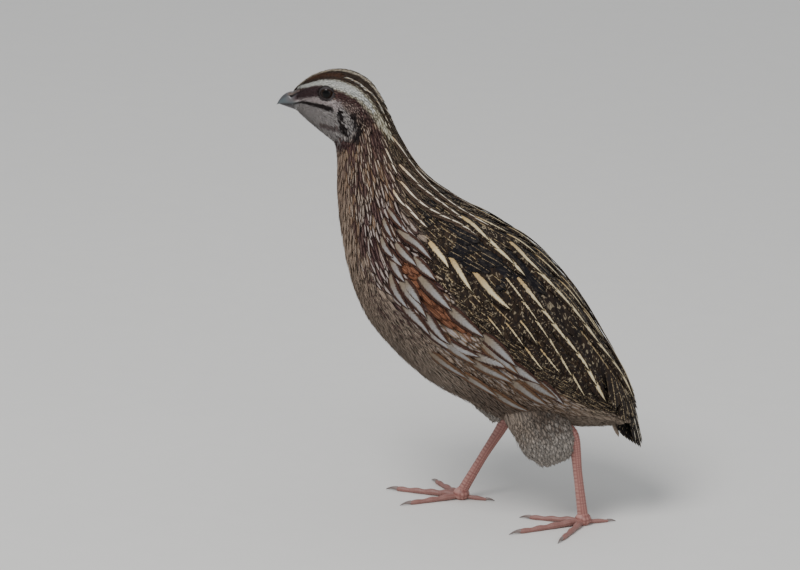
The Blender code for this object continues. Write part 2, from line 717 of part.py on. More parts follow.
def make_toes(side, hub, heading):
    """Four toes round the hub, flat underneath, each with its own claw."""
    made = []
    sign = 1 if side == "left" else -1
    for name, spread, length, radius in [*TOES, HIND_TOE]:
        angle = math.radians(heading + spread * sign)
        ahead = Vector((math.cos(angle), math.sin(angle), 0))
        across = Vector((-ahead.y, ahead.x, 0))
        rings, steps = [], max(5, round(length / 2.2))
        for i in range(steps + 1):
            t = i / steps
            reach = 1.2 + (HUB_SIZE[0] - 1.2 + length) * t
            pad = 1 - 0.10 * math.cos(2 * math.pi * (reach - HUB_SIZE[0]) / PHALANX)
            r = radius * (1 - 0.32 * t) * pad
            middle = Vector((hub.x, hub.y, 0)) + ahead * reach
            middle.z = 0.82 * r + (0.5 * (1 - t) ** 2)
            ring = []
            for j in range(8):
                b = 2 * math.pi * (j + 0.5) / 8
                p = middle + across * r * math.cos(b) + Vector((0, 0, r * math.sin(b)))
                p.z = max(p.z, 0.0)
                ring.append(p)
            rings.append(ring)
        toe = ring_solid("toe_core", rings)
        grown = tuple(s + GAP for s in HUB_SIZE)
        made.append(fuse(f"toe_{side}_{name}", [toe], [ball("hub_cut", hub, grown, 14, 8)]))
        tip = Vector((hub.x, hub.y, 0)) + ahead * (HUB_SIZE[0] + length + GAP)
        made.append(make_claw(f"claw_{side}_{name}", tip, ahead, across, radius * 0.68))
    return made


def make_claw(name, tip, ahead, across, radius):
    """A curved claw from the flat end of its toe, down to just over the ground."""
    rings, steps = [], 5
    size = CLAW_LENGTH * radius / CLAW_R * 0.95
    for i in range(steps + 1):
        t = i / steps
        r = radius * 0.82 * (1 - t) ** 0.8 + 0.1
        drop = radius * 0.95 * t**2
        middle = tip + ahead * size * t
        middle.z = max(radius * 1.15 - drop, r + 0.05)
        ring = []
        for j in range(8):
            b = 2 * math.pi * j / 8
            ring.append(middle + across * r * 0.8 * math.cos(b) + Vector((0, 0, r * math.sin(b))))
        rings.append(ring)
    return ring_solid(name, rings)


def main():
    for obj in list(bpy.data.objects):
        bpy.data.objects.remove(obj)
    for obj in (make_torso(), make_neck(), make_head()):
        paint(obj, BUFF, 0.9)
    for upper in (True, False):
        paint(make_bill(upper), HORN, 0.45)
    eye = make_eye()
    paint(eye, DARK, 0.08)
    mirrored(eye, "eye_right")
    wing = make_wing()
    paint(wing, BROWN, 0.85)
    mirrored(wing, "wing_right")
    paint(make_tail(), BROWN, 0.85)
    for side in LEGS:
        for obj in make_leg(side):
            if obj.name.startswith("thigh"):
                paint(obj, CREAM, 0.9)
            elif obj.name.startswith("claw"):
                paint(obj, HORN, 0.4)
            else:
                paint(obj, PINK, 0.55)


if __name__ == "__main__":
    main()
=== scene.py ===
"""Looks of a life-size common quail: skin, coat of feathers, wings, tail, head and feet.

Sizes along and round the bird are in millimetres, as in the part, and become metres where a
mesh is made. A place on the body is a station, from the tail to the bill, and an angle in
degrees from the middle of the back round the left side.
"""

import math

import bmesh
import bpy
import numpy as np
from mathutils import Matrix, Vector


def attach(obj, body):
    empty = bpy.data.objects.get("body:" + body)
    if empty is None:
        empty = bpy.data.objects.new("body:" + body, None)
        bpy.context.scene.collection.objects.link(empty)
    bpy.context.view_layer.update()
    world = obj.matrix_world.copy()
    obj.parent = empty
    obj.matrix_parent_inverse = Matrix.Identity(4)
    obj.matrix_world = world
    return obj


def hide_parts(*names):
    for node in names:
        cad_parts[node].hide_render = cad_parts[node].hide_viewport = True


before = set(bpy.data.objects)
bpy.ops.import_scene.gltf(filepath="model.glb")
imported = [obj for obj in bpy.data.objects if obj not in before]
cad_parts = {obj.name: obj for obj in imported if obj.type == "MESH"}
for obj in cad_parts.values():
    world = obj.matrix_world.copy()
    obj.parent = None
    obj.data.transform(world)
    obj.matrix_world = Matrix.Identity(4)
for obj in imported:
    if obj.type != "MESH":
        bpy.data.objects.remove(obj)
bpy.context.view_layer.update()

bl_info = {
    "name": "Common quail",
    "version": (1, 0, 0),
    "blender": (4, 5, 0),
    "location": "3D View > Sidebar > Quail",
    "description": "Skin, feathers, wings, tail, head and feet of a life-size quail",
    "category": "Object",
}

MM = 0.001
SHIFT = np.array([-1.3, -2.6, 0.0])  # sets the origin under the middle of the bird's box
BODY = "root"
SIDES = (("left", 1), ("right", -1))
UNPAINTED = 0.6  # no painted ground has this much blue, so a point that has it is new on a seam
VIEW_CENTRE = (23.9, -17.0, 73.2)  # what the camera looks at

# Each station of the body: back x, back z, belly x, belly z, half width, and how far above
# the middle it is widest.
STATIONS = [
    (-59.5, 40.4, -55.0, 33.2, 8.5, 0.00),  # 0 end of the tail coverts
    (-55.5, 50.6, -44.0, 32.2, 14.0, 0.00),  # 1 tail root
    (-48.5, 62.6, -32.0, 32.1, 20.0, 0.00),  # 2 rump
    (-40.0, 76.1, -18.0, 32.8, 25.5, 0.00),  # 3 loin
    (-31.0, 87.0, -4.0, 39.1, 28.5, 0.00),  # 4 hips
    (-20.7, 96.3, 10.0, 46.3, 29.5, 0.00),  # 5 middle of the back
    (-8.5, 103.2, 22.5, 56.9, 28.5, 0.00),  # 6 shoulders
    (2.5, 109.3, 32.0, 68.5, 25.0, -0.05),  # 7 breast
    (11.3, 115.6, 38.0, 83.1, 20.0, -0.05),  # 8 root of the neck
    (17.0, 122.3, 41.0, 97.3, 15.5, 0.00),  # 9 low neck
    (21.2, 129.9, 42.3, 110.1, 12.3, 0.00),  # 10 middle of the neck
    (24.3, 136.8, 42.3, 120.5, 10.8, 0.00),  # 11 high neck
    (27.5, 143.5, 43.0, 127.0, 10.2, 0.05),  # 12 throat
    (31.5, 149.0, 45.8, 129.7, 10.1, 0.10),  # 13 nape
    (37.5, 152.2, 48.3, 131.6, 9.9, 0.12),  # 14 crown
    (44.0, 152.6, 50.6, 133.5, 9.1, 0.12),  # 15 eye
    (50.3, 150.7, 53.0, 135.4, 7.0, 0.05),  # 16 forehead
    (55.0, 147.5, 55.0, 137.2, 4.6, 0.00),  # 17 lore
    (58.0, 144.2, 56.6, 138.4, 2.9, 0.00),  # 18 root of the bill
]
HOLLOW_DEPTH, HOLLOW_SHARE = 4.0, 0.2
HOLLOW_STATIONS = (-0.8, 0.8, 7.0, 8.3)
HOLLOW_RIM = (11.0, 3.0)

EYE = np.array([44.6, 6.2, 146.5])  # middle of the left eyeball
PUPIL_EDGE, IRIS_GLOW, IRIS_RIM = (0.40, 0.45), (0.40, 0.62), (0.72, 0.85)  # shares of its radius
LID_OPENING, LID_REACH = (2.40, 2.02), (2.5, 2.2)  # half sizes of the opening, and of the bare rim
LID_POINTS, LID_ROUND, LID_WRINKLES = 72, 14, 31

# Forms of the head beside the eye: how far they stand out, then place and spread forward and up
HEAD_FORMS = [
    (-0.9, 0.0, 18.0, 0.0, 18.0),  # hollow of the eye
    (0.7, 0.0, 40.0, 3.9, 5.0),  # brow
    (0.8, -6.5, 30.0, -5.5, 24.0),  # cheek
    (-0.4, 6.5, 14.0, -1.0, 8.0),  # lore
]

BILL_TIP = (63.4, 140.2)
MOUTH_SHARE = 0.4  # share of the bill's depth that is lower bill
MOUTH_ANGLE = 96.0  # angle of the mouth's line where the bill meets the face
BILL_CREST = (58.3, 144.5)  # where the ridge of the bill leaves the forehead
BARE_SIDE, BARE_RIDGE, BARE_CHIN = 16.9, 17.6, 17.35  # stations where the bare horn starts
BILL_ARC, BILL_STEPS, BILL_ROOT_STEPS, BILL_FLAT = 65, 44, 28, 7
BILL_STATION, FREE_STATIONS = 18.0, 2.0  # where the free bill starts, and how many it counts as
COVER_RISE, SLIT_DEPTH = 0.30, 0.45  # of the nostril
NOSTRIL_ANGLE, NOSTRIL_LEAN = 49.0, 9.0  # at the bill's root, and degrees for each station back
NOSTRIL_STATIONS, COVER_STATIONS = (16.95, 18.15), (16.7, 18.35)

# Halves of the bill. Ends of the mouth's edge and of the ridge from the bill's tip, how far the
# ridge bows out, half the gap between the halves, how far ridge and edge hook down at the tip,
# and how far the sides sink at the face
BILL_HALVES = {
    True: ((-0.35, -0.05), (0.0, -0.25), 0.95, 0.06, (0.35, 0.30), 0.10),
    False: ((-1.0, 0.0), (-1.5, -0.35), 0.15, -0.06, (0.0, 0.0), 0.0),
}

TAIL_BASE = np.array([-52.8, 0.0, 45.4])
TAIL_TIP = np.array([-62.0, 0.0, 25.4])
TAIL_QUILLS, QUILL_LENGTH, QUILL_WIDTH = 12, 22.0, 5.6
LEGS = {
    "left": {
        "thigh": [(-24.0, 12.0, 46.0), (-29.5, 13.0, 36.0), (-33.0, 13.0, 27.5), (-34.5, 13.0, 22.0)],
        "thigh_size": [(10.5, 8.5), (10.0, 7.6), (8.8, 6.2), (4.8, 3.4)],
        "shank": [(-33.0, 12.6, 37.5), (-38.5, 12.3, 33.5), (-41.2, 12.2, 30.0), (-42.6, 12.0, 18.0)],
        "hub": (-44.5, 12.0, 1.9),
        "heading": 35.0,
    },
    "right": {
        "thigh": [(-4.0, -12.0, 52.0), (-7.0, -12.5, 42.0), (-10.5, -12.5, 33.5), (-12.2, -12.0, 29.0)],
        "thigh_size": [(10.0, 8.5), (9.0, 7.0), (6.0, 4.6), (3.4, 3.0)],
        "shank": [(-9.5, -12.2, 35.0), (-13.0, -11.6, 30.5), (-13.2, -11.2, 27.0), (-6.4, -10.2, 15.5)],
        "hub": (1.0, -9.0, 1.9),
        "heading": -12.0,
    },
}
SHANK_R = (2.3, 2.5, 1.9, 1.45, 1.7)
HUB_SIZE = (2.9, 2.9, 2.5)
TOES = [("inner", -43.0, 16.0, 1.1), ("middle", 0.0, 21.0, 1.2), ("outer", 42.0, 16.5, 1.1)]
HIND_TOE = ("hind", 172.0, 6.0, 0.85)
PHALANX = 5.5
TOE_START, TOE_POINTS, TOE_SIDES = 0.6, 90, 28
TOE_END = 0.97  # share of its length where a toe rounds off
CLAW_LENGTH, CLAW_R = 4.2, 0.75
CLAW_POINTS, CLAW_SIDES = 30, 18
SCUTE_RISE, PLATE_RISE = 0.13, 0.07
SHANK_POINTS, SHANK_SIDES = 150, 36

# Depth of the coat over the skin at some stations
COAT_STATIONS = (0.0, 3.0, 6.0, 8.0, 10.0, 12.0, 15.0, 18.0)
COAT_DEPTH = (1.2, 1.6, 1.6, 1.3, 1.0, 0.75, 0.5, 0.3)
QUILL_GRID, THIGH_GRID = (12, 9), (6, 3)  # rows and columns of points on a feather

# Tracts of the coat. Stations, angles from the back on either side, length and width of a
# feather at the first and last station, steps along and across as shares of them, rows and
# columns of points, where the end narrows, and how fluffy it is
TRACTS = {
    "face": ((14.6, 18.35), (0, 180), (1.9, 0.8), (0.72, 0.36), (0.28, 0.60), (5, 3), 0.45, 0.2),
    "crown": ((11.8, 14.6), (0, 180), (3.2, 1.9), (1.15, 0.72), (0.28, 0.60), (5, 3), 0.4, 0.2),
    "neck": ((7.5, 11.9), (0, 180), (9.5, 5.6), (2.2, 1.45), (0.34, 0.52), (8, 5), 0.25, 0.2),
    "breast": ((5.4, 8.1), (46, 114), (12.5, 10.0), (3.2, 2.5), (0.38, 0.54), (8, 5), 0.3, 0.2),
    "throat_down": ((5.4, 8.2), (110, 180), (6.5, 6.0), (1.0, 1.0), (0.20, 0.60), (6, 3), 0.3, 1.0),
    "belly": ((0.5, 5.5), (106, 180), (6.5, 6.5), (1.15, 1.15), (0.22, 0.62), (6, 3), 0.3, 1.0),
    "flank": ((0.6, 5.5), (78, 112), (12.0, 12.0), (2.2, 2.6), (0.22, 0.50), (8, 5), 0.3, 0.5),
    "back": ((0.3, 8.1), (0, 84), (6.5, 8.5), (4.0, 3.4), (0.32, 0.55), (8, 5), 0.5, 0.2),
}

# Markings that run as lines over the left side, mirrored to the right: stations and angles
BROW = [
    *[(17.15, 25), (16.7, 37), (16.25, 44), (15.45, 48), (14.6, 52), (13.9, 52), (13.2, 50)],
    *[(12.5, 46), (11.85, 41), (11.15, 34), (10.55, 27), (9.85, 15), (9.3, 9)],
]
NAPE_LINE = [(14.1, 29), (13.4, 28), (12.8, 27), (12.25, 21), (11.5, 18)]
CROWN_LINE = [(17.0, 0), (15.0, 0), (13.6, 0), (12.0, 0)]
RUFOUS = [(16.2, 16), (15.2, 24), (14.4, 26)]
LORE = [(17.6, 64), (16.6, 66), (15.5, 68)]
EAR = [(14.1, 73), (13.6, 68), (13.1, 62), (12.6, 58)]
MOUSTACHE = [(17.6, 96), (16.9, 95), (16.3, 95), (15.15, 101), (14.5, 101), (13.9, 98)]
CHEEK = [(16.9, 82), (16.3, 86), (14.95, 90), (14.1, 90), (13.7, 88)]
THROAT_BAR = [(13.35, 92), (13.0, 101), (12.55, 110), (12.05, 111)]
THROAT_SPOT = [(13.85, 138), (13.3, 132), (12.8, 122)]
SIDE_BAR = [(12.35, 82), (11.95, 82), (11.65, 84), (11.25, 92)]
COLLAR = [(11.2, 98), (11.35, 112), (11.7, 130), (11.8, 152)]
SIDE_COLUMN = [(12.1, 60), (11.4, 58), (10.9, 55), (10.45, 53), (10.2, 58)]
CHESTNUT = [(7.1, 75), (6.5, 79), (6.15, 84), (5.65, 86), (5.05, 89)]

# Lanceolate feathers with pale streaks: their line over the left side, how many, length,
# width, half width of the streak as a share, kind of look, and height over the outline
STREAKED = [
    (
        [(5.4, 13), (4.85, 18), (4.5, 20), (3.4, 20), (2.2, 18), (1.0, 10), (0.2, 5)],
        *(8, 19.0, 5.4, 0.28, "cream", 1.0),
    ),
    ([(6.4, 8), (5.2, 6), (3.4, 4), (2.0, 2)], 5, 15.0, 4.6, 0.18, "cream", 0.7),
    ([(6.7, 17), (6.2, 20), (5.7, 25), (5.2, 29), (4.4, 33)], 4, 16.0, 5.2, 0.32, "cream", 1.1),
    ([(4.7, 36), (4.05, 41), (2.9, 46), (2.0, 51), (0.95, 71)], 7, 16.0, 5.2, 0.24, "cream", 0.9),
    ([(5.1, 41), (4.5, 46), (3.15, 56), (2.3, 67), (1.65, 80)], 6, 15.0, 5.0, 0.11, "cream", 0.8),
    ([(5.6, 51), (5.45, 53), (4.8, 58), (4.0, 59), (3.7, 60)], 1, 20.0, 4.8, 0.38, "cream", 1.1),
    ([(6.3, 52), (6.1, 54), (5.5, 62), (4.95, 68)], 1, 16.0, 4.4, 0.40, "cream", 1.1),
    ([(6.9, 52), (6.65, 54), (6.2, 58), (5.8, 64)], 1, 13.0, 4.0, 0.40, "cream", 1.1),
    ([(4.7, 71), (4.4, 73), (4.05, 76)], 1, 9.0, 4.6, 0.09, "cream", 0.7),
    ([(4.3, 67), (3.9, 70), (2.9, 79)], 2, 11.0, 4.6, 0.09, "cream", 0.7),
    ([(4.1, 59), (3.65, 62), (2.45, 73)], 2, 12.0, 4.6, 0.09, "cream", 0.7),
    ([(10.4, 22), (9.6, 13), (8.85, 8), (7.9, 7), (6.6, 10), (5.8, 10)], 10, 11.0, 2.7, 0.25, "white", 0.5),
    ([(9.4, 32), (8.45, 23), (7.4, 18), (6.3, 20)], 7, 11.0, 2.9, 0.27, "white", 0.6),
    ([(8.9, 42), (8.5, 38), (7.55, 33), (6.55, 26), (5.7, 26)], 7, 11.0, 2.9, 0.24, "white", 0.6),
    ([(8.9, 55), (8.3, 51), (7.8, 47), (7.1, 46)], 4, 9.0, 2.6, 0.28, "white", 0.5),
    ([(10.3, 44), (9.6, 42), (9.0, 40)], 2, 8.0, 2.2, 0.26, "white", 0.3),
    (
        [(14.2, 29), (13.4, 28), (12.8, 27), (12.25, 21), (11.4, 18), (10.6, 17)],
        *(9, 3.4, 0.9, 0.36, "white", 0.25),
    ),
    ([(16.7, 3), (15.0, 4), (13.6, 4), (12.0, 3), (10.8, 4)], 11, 3.4, 1.2, 0.40, "white", 0.25),
]
FLANK_LINES = [
    (
        [(6.95, 88), (6.0, 95), (5.15, 101), (4.3, 96), (3.55, 90), (2.7, 90), (2.0, 98)],
        *(6, 17.0, 4.6, 0.46, "flank", 0.9),
    ),
    ([(5.6, 100), (5.1, 103), (4.15, 103), (3.3, 100), (2.35, 106)], 3, 20.0, 4.6, 0.44, "haunch", 0.9),
    ([(5.4, 118), (4.9, 118), (4.15, 118), (3.35, 119), (2.7, 120)], 3, 18.0, 4.4, 0.40, "haunch", 0.5),
    ([(6.6, 99), (6.2, 102), (5.5, 104), (4.9, 104)], 2, 15.0, 4.4, 0.46, "flank", 0.7),
    ([(7.2, 92), (6.8, 97), (6.2, 101), (5.5, 106)], 2, 14.0, 4.0, 0.44, "flank", 0.7),
    ([(6.6, 77), (6.0, 80), (5.15, 83), (4.25, 84), (3.5, 87)], 3, 17.0, 4.8, 0.46, "flank", 1.3),
    ([(4.6, 88), (3.9, 90), (3.2, 92), (2.2, 96)], 2, 19.0, 4.4, 0.44, "haunch", 1.1),
    ([(7.5, 84), (7.2, 85), (6.65, 87), (6.1, 91)], 2, 11.0, 4.0, 0.46, "flank", 0.9),
    ([(8.0, 84), (7.7, 84), (7.4, 82), (7.0, 80)], 2, 9.0, 3.4, 0.44, "flank", 0.7),
    ([(7.8, 67), (7.6, 65), (7.0, 61), (6.3, 64)], 1, 17.0, 3.6, 0.44, "flank", 1.1),
    ([(7.0, 69), (6.75, 70), (6.4, 71), (6.0, 73)], 1, 12.0, 3.8, 0.46, "flank", 1.2),
    ([(7.6, 74), (7.2, 73), (6.8, 72), (6.5, 74)], 1, 12.0, 3.6, 0.42, "flank", 1.0),
    ([(8.5, 67), (8.2, 64), (7.85, 62), (7.4, 60)], 2, 9.0, 3.0, 0.34, "flank", 0.7),
    ([(8.4, 76), (8.0, 75), (7.6, 74)], 2, 8.0, 3.0, 0.40, "flank", 0.6),
]

# The folded wing. Tier: how many, root of the first and last, tip of the first and last,
# width, heights at root and tip, kind of look
WING_TIERS = [
    (9, (4.2, 58), (4.4, 78), (0.35, 62), (1.3, 91), 6.0, (-1.5, -0.3), "primary"),
    (9, (4.6, 44), (4.8, 76), (1.1, 50), (2.3, 84), 7.2, (-1.2, 0.1), "wing"),
    (5, (5.0, 25), (5.0, 44), (0.7, 27), (1.5, 46), 9.0, (-1.0, 0.2), "wing"),
    (9, (5.5, 40), (5.5, 72), (3.4, 44), (3.8, 82), 7.4, (-1.0, 0.3), "wing"),
    (8, (6.3, 37), (6.1, 66), (4.7, 43), (5.0, 77), 6.6, (-0.9, 0.45), "covert"),
    (8, (6.8, 35), (6.6, 63), (5.5, 41), (5.7, 72), 5.6, (-0.8, 0.45), "covert"),
    (8, (7.2, 36), (7.0, 60), (6.2, 39), (6.2, 68), 4.6, (-0.8, 0.45), "covert"),
    (7, (7.5, 38), (7.3, 58), (6.7, 41), (6.7, 63), 3.8, (-0.8, 0.4), "covert"),
    (6, (7.1, 32), (7.0, 53), (5.7, 33), (5.6, 54), 5.2, (-0.8, 0.6), "black"),
    (6, (6.4, 31), (6.3, 50), (4.7, 33), (4.6, 50), 6.0, (-0.9, 0.6), "black"),
    (5, (7.1, 12), (6.9, 31), (5.1, 12), (5.0, 31), 5.8, (-0.8, 0.5), "mantle"),
    (6, (6.0, 13), (5.9, 33), (3.8, 13), (3.8, 35), 6.6, (-0.9, 0.5), "black"),
    (6, (5.0, 14), (4.9, 36), (2.4, 13), (2.5, 34), 7.4, (-1.0, 0.5), "mantle"),
    (6, (6.3, 30), (6.5, 50), (4.9, 27), (5.3, 50), 5.0, (-0.7, 0.75), "black"),
    (5, (6.9, 34), (6.9, 50), (5.8, 31), (5.9, 49), 4.4, (-0.7, 0.8), "black"),
]

# Coverts of the tail: how many, degrees that they fan out, start along the tail, length,
# width, heights over its plane at root and tip, kind of look
TAIL_COVERTS = [
    (7, 12.0, 3.0, 18.5, 4.6, (4.2, 0.9), "covering"),
    (7, 16.0, -1.0, 17.0, 4.8, (4.6, 2.2), "covering"),
    (9, 26.0, -5.0, 16.0, 5.2, (4.4, 3.6), "rump"),
    (9, 32.0, -10.0, 17.0, 5.6, (3.4, 5.0), "rump"),
    (9, 24.0, 2.0, 14.0, 4.2, (-3.6, -1.9), "under"),
    (9, 30.0, -1.0, 12.0, 4.4, (-5.0, -3.0), "under"),
    (9, 34.0, -4.0, 10.0, 4.8, (-7.0, -4.0), "under"),
]

# Looks of feathers: ground, streak and its half width, margin and its width, then how closely
# the cross marks follow each other, 0 for none, and how dark the streak's border is
LOOKS = {
    "belly": ((0.245, 0.190, 0.150), (0.30, 0.24, 0.195), 0.12, (0.27, 0.215, 0.170), 0.25, 0.0, 0.0),
    "vent": ((0.15, 0.11, 0.078), (0.22, 0.17, 0.125), 0.15, (0.19, 0.145, 0.105), 0.25, 0.0, 0.0),
    "under": ((0.20, 0.160, 0.125), (0.27, 0.22, 0.175), 0.15, (0.24, 0.195, 0.155), 0.25, 0.0, 0.0),
    # painted shade under the flank, where belly and thighs meet
    "hip": ((0.085, 0.058, 0.042), (0.14, 0.10, 0.075), 0.12, (0.11, 0.078, 0.058), 0.25, 0.0, 0.0),
    "thigh": ((0.30, 0.268, 0.240), (0.36, 0.325, 0.295), 0.12, (0.32, 0.287, 0.258), 0.25, 0.0, 0.0),
    "breast": ((0.21, 0.15, 0.11), (0.36, 0.29, 0.23), 0.22, (0.17, 0.115, 0.08), 0.2, 0.0, 0.2),
    "throat skirt": ((0.16, 0.105, 0.075), (0.30, 0.23, 0.18), 0.22, (0.13, 0.080, 0.058), 0.2, 0.0, 0.3),
    "neck": ((0.105, 0.066, 0.048), (0.46, 0.39, 0.33), 0.22, (0.06, 0.034, 0.027), 0.2, 0.0, 0.9),
    "tawny": ((0.16, 0.092, 0.054), (0.34, 0.27, 0.21), 0.16, (0.12, 0.070, 0.044), 0.2, 0.0, 0.3),
    "spotted": ((0.035, 0.015, 0.013), (0.34, 0.295, 0.28), 0.40, (0.06, 0.028, 0.022), 0.14, 0.0, 0.9),
    "flank": ((0.075, 0.032, 0.020), (0.29, 0.29, 0.30), 0.42, (0.034, 0.015, 0.012), 0.16, 0.0, 0.7),
    "haunch": ((0.13, 0.070, 0.036), (0.24, 0.235, 0.235), 0.42, (0.07, 0.032, 0.020), 0.14, 0.0, 0.4),
    "soft": ((0.20, 0.140, 0.095), (0.30, 0.27, 0.26), 0.36, (0.13, 0.070, 0.035), 0.22, 0.0, 0.3),
    "chestnut": ((0.155, 0.062, 0.032), (0.26, 0.125, 0.075), 0.10, (0.090, 0.032, 0.018), 0.2, 0.0, 0.3),
    "mantle": ((0.022, 0.014, 0.010), (0.42, 0.33, 0.19), 0.030, (0.062, 0.042, 0.026), 0.12, 4.0, 0.3),
    "nape": ((0.028, 0.018, 0.012), (0.30, 0.24, 0.14), 0.05, (0.095, 0.064, 0.038), 0.2, 3.0, 0.4),
    "rump": ((0.026, 0.017, 0.011), (0.40, 0.32, 0.20), 0.045, (0.080, 0.055, 0.034), 0.14, 5.0, 0.3),
    "black": ((0.007, 0.006, 0.008), (0.24, 0.19, 0.12), 0.025, (0.075, 0.062, 0.050), 0.05, 0.0, 0.2),
    "wing": ((0.026, 0.016, 0.010), (0.36, 0.28, 0.16), 0.030, (0.092, 0.062, 0.037), 0.08, 8.0, 0.3),
    "covert": ((0.028, 0.017, 0.011), (0.34, 0.27, 0.16), 0.04, (0.095, 0.064, 0.037), 0.10, 5.0, 0.3),
    "primary": ((0.030, 0.020, 0.015), (0.12, 0.09, 0.06), 0.03, (0.085, 0.060, 0.042), 0.06, 13.0, 0.0),
    "cream": ((0.030, 0.018, 0.011), (0.68, 0.60, 0.40), 0.26, (0.070, 0.042, 0.022), 0.06, 8.0, 1.0),
    "white": ((0.060, 0.038, 0.026), (0.80, 0.74, 0.62), 0.30, (0.10, 0.066, 0.046), 0.10, 0.0, 1.0),
    "tail": ((0.014, 0.013, 0.014), (0.66, 0.60, 0.50), 0.035, (0.045, 0.034, 0.028), 0.06, 4.0, 0.2),
    "covering": ((0.018, 0.015, 0.014), (0.66, 0.62, 0.53), 0.13, (0.05, 0.036, 0.026), 0.08, 4.0, 0.6),
    "crown": ((0.024, 0.016, 0.012), (0.13, 0.090, 0.062), 0.14, (0.070, 0.046, 0.032), 0.2, 0.0, 0.2),
    "rufous": ((0.12, 0.050, 0.025), (0.20, 0.10, 0.06), 0.12, (0.09, 0.04, 0.025), 0.25, 0.0, 0.0),
    "brow": ((0.60, 0.61, 0.57), (0.80, 0.81, 0.78), 0.2, (0.43, 0.43, 0.40), 0.3, 0.0, 0.0),
    "white line": ((0.66, 0.64, 0.58), (0.84, 0.82, 0.76), 0.2, (0.40, 0.36, 0.30), 0.3, 0.0, 0.0),
    "low brow": ((0.44, 0.41, 0.31), (0.66, 0.64, 0.54), 0.25, (0.21, 0.18, 0.12), 0.3, 0.0, 0.5),
    "median": ((0.58, 0.52, 0.42), (0.74, 0.68, 0.56), 0.3, (0.28, 0.22, 0.15), 0.3, 0.0, 0.0),
    "lore": ((0.050, 0.029, 0.032), (0.085, 0.052, 0.054), 0.10, (0.034, 0.020, 0.022), 0.25, 0.0, 0.0),
    "ear": ((0.13, 0.088, 0.078), (0.34, 0.27, 0.25), 0.22, (0.075, 0.042, 0.038), 0.25, 0.0, 0.7),
    "dark ear": ((0.048, 0.022, 0.022), (0.12, 0.064, 0.058), 0.14, (0.032, 0.014, 0.014), 0.25, 0.0, 0.1),
    "cheek": ((0.36, 0.31, 0.305), (0.47, 0.42, 0.41), 0.15, (0.30, 0.25, 0.25), 0.3, 0.0, 0.0),
    "throat": ((0.26, 0.240, 0.235), (0.36, 0.345, 0.335), 0.15, (0.20, 0.18, 0.175), 0.3, 0.0, 0.0),
    "ink": ((0.011, 0.007, 0.007), (0.03, 0.02, 0.018), 0.10, (0.009, 0.006, 0.006), 0.3, 0.0, 0.0),
    "maroon": ((0.032, 0.013, 0.014), (0.12, 0.065, 0.058), 0.15, (0.06, 0.028, 0.026), 0.18, 0.0, 0.3),
}


def look(name):
    """One kind of feather as fourteen numbers, in the order that feathers carry them."""
    ground, streak, streak_width, margin, margin_width, bars, border = LOOKS[name]
    return np.array([*ground, 1.0, *streak, streak_width, *margin, margin_width, bars, border])


def smooth(low, high, x):
    """0 at low, 1 at high, and an even S between."""
    t = np.clip((np.asarray(x, float) - low) / (high - low), 0.0, 1.0)
    return t * t * (3 - 2 * t)


def spline(values, u):
    """Rows of values at stations u, on a smooth curve through every row."""
    values = np.asarray(values, float)
    u = np.asarray(u, float)
    last = len(values) - 1
    i = np.clip(np.floor(u), 0, last - 1).astype(int)
    t = (u - i)[..., None]
    p0, p1 = values[np.maximum(i - 1, 0)], values[i]
    p2, p3 = values[i + 1], values[np.minimum(i + 2, last)]
    return 0.5 * (
        2 * p1 + (p2 - p0) * t + (2 * p0 - 5 * p1 + 4 * p2 - p3) * t**2 + (3 * p1 - p0 - 3 * p2 + p3) * t**3
    )


def unit(vectors):
    return vectors / np.maximum(np.linalg.norm(vectors, axis=-1, keepdims=True), 1e-9)


def section(u, angle):
    """A point of the body's plain outline."""
    back_x, back_z, belly_x, belly_z, half, widest = np.moveaxis(spline(STATIONS, u), -1, 0)
    a = np.radians(angle)
    rise = np.cos(a) + widest * np.sin(a) ** 2
    x = (back_x + belly_x) / 2 + rise * (back_x - belly_x) / 2
    z = (back_z + belly_z) / 2 + rise * (back_z - belly_z) / 2
    return np.stack([x, half * np.sin(a), z], -1)


def outline(u, angle):
    """The body's plain outline, which runs straight on past its end at the tail."""
    u, angle = np.broadcast_arrays(np.asarray(u, float), np.asarray(angle, float))
    if np.all(u >= 0.0):
        return section(u, angle)
    held = np.maximum(u, 0.0)
    step = (section(held + 0.1, angle) - section(held, angle)) / 0.1
    return section(held, angle) + step * (u - held)[..., None]


def normal_of(surface, u, angle):
    """Outward direction of a surface."""
    along = surface(u + 0.05, angle) - surface(u - 0.05, angle)
    around = surface(u, angle + 2.0) - surface(u, angle - 2.0)
    return unit(np.cross(along, around))


def head_relief(p):
    """How far brow, cheek and eye hollow stand out from the plain head."""
    dx, dz = p[..., 0] - EYE[0], p[..., 2] - EYE[2]
    side = smooth(3.0, 7.0, np.abs(p[..., 1])) * smooth(128.0, 136.0, p[..., 2])
    forms = [h * np.exp(-((dx - x) ** 2) / long - (dz - z) ** 2 / tall) for h, x, long, z, tall in HEAD_FORMS]
    return side * sum(forms)


def body(u, angle):
    """The body with the relief of its head."""
    p = outline(u, angle)
    return p + normal_of(outline, u, angle) * head_relief(p)[..., None]


def wing_edge(u):
    """Angles of the folded wing's upper and lower edge at a station."""
    bend = smooth(6.4, 7.6, u) ** 2
    top = 12.0 + 7.0 * smooth(3.0, 7.2, u) + 14.0 * bend
    low = 96.0 - 9.0 * smooth(0.2, 2.5, u) - 27.0 * smooth(3.8, 7.4, u) - 12.0 * bend
    return top, low


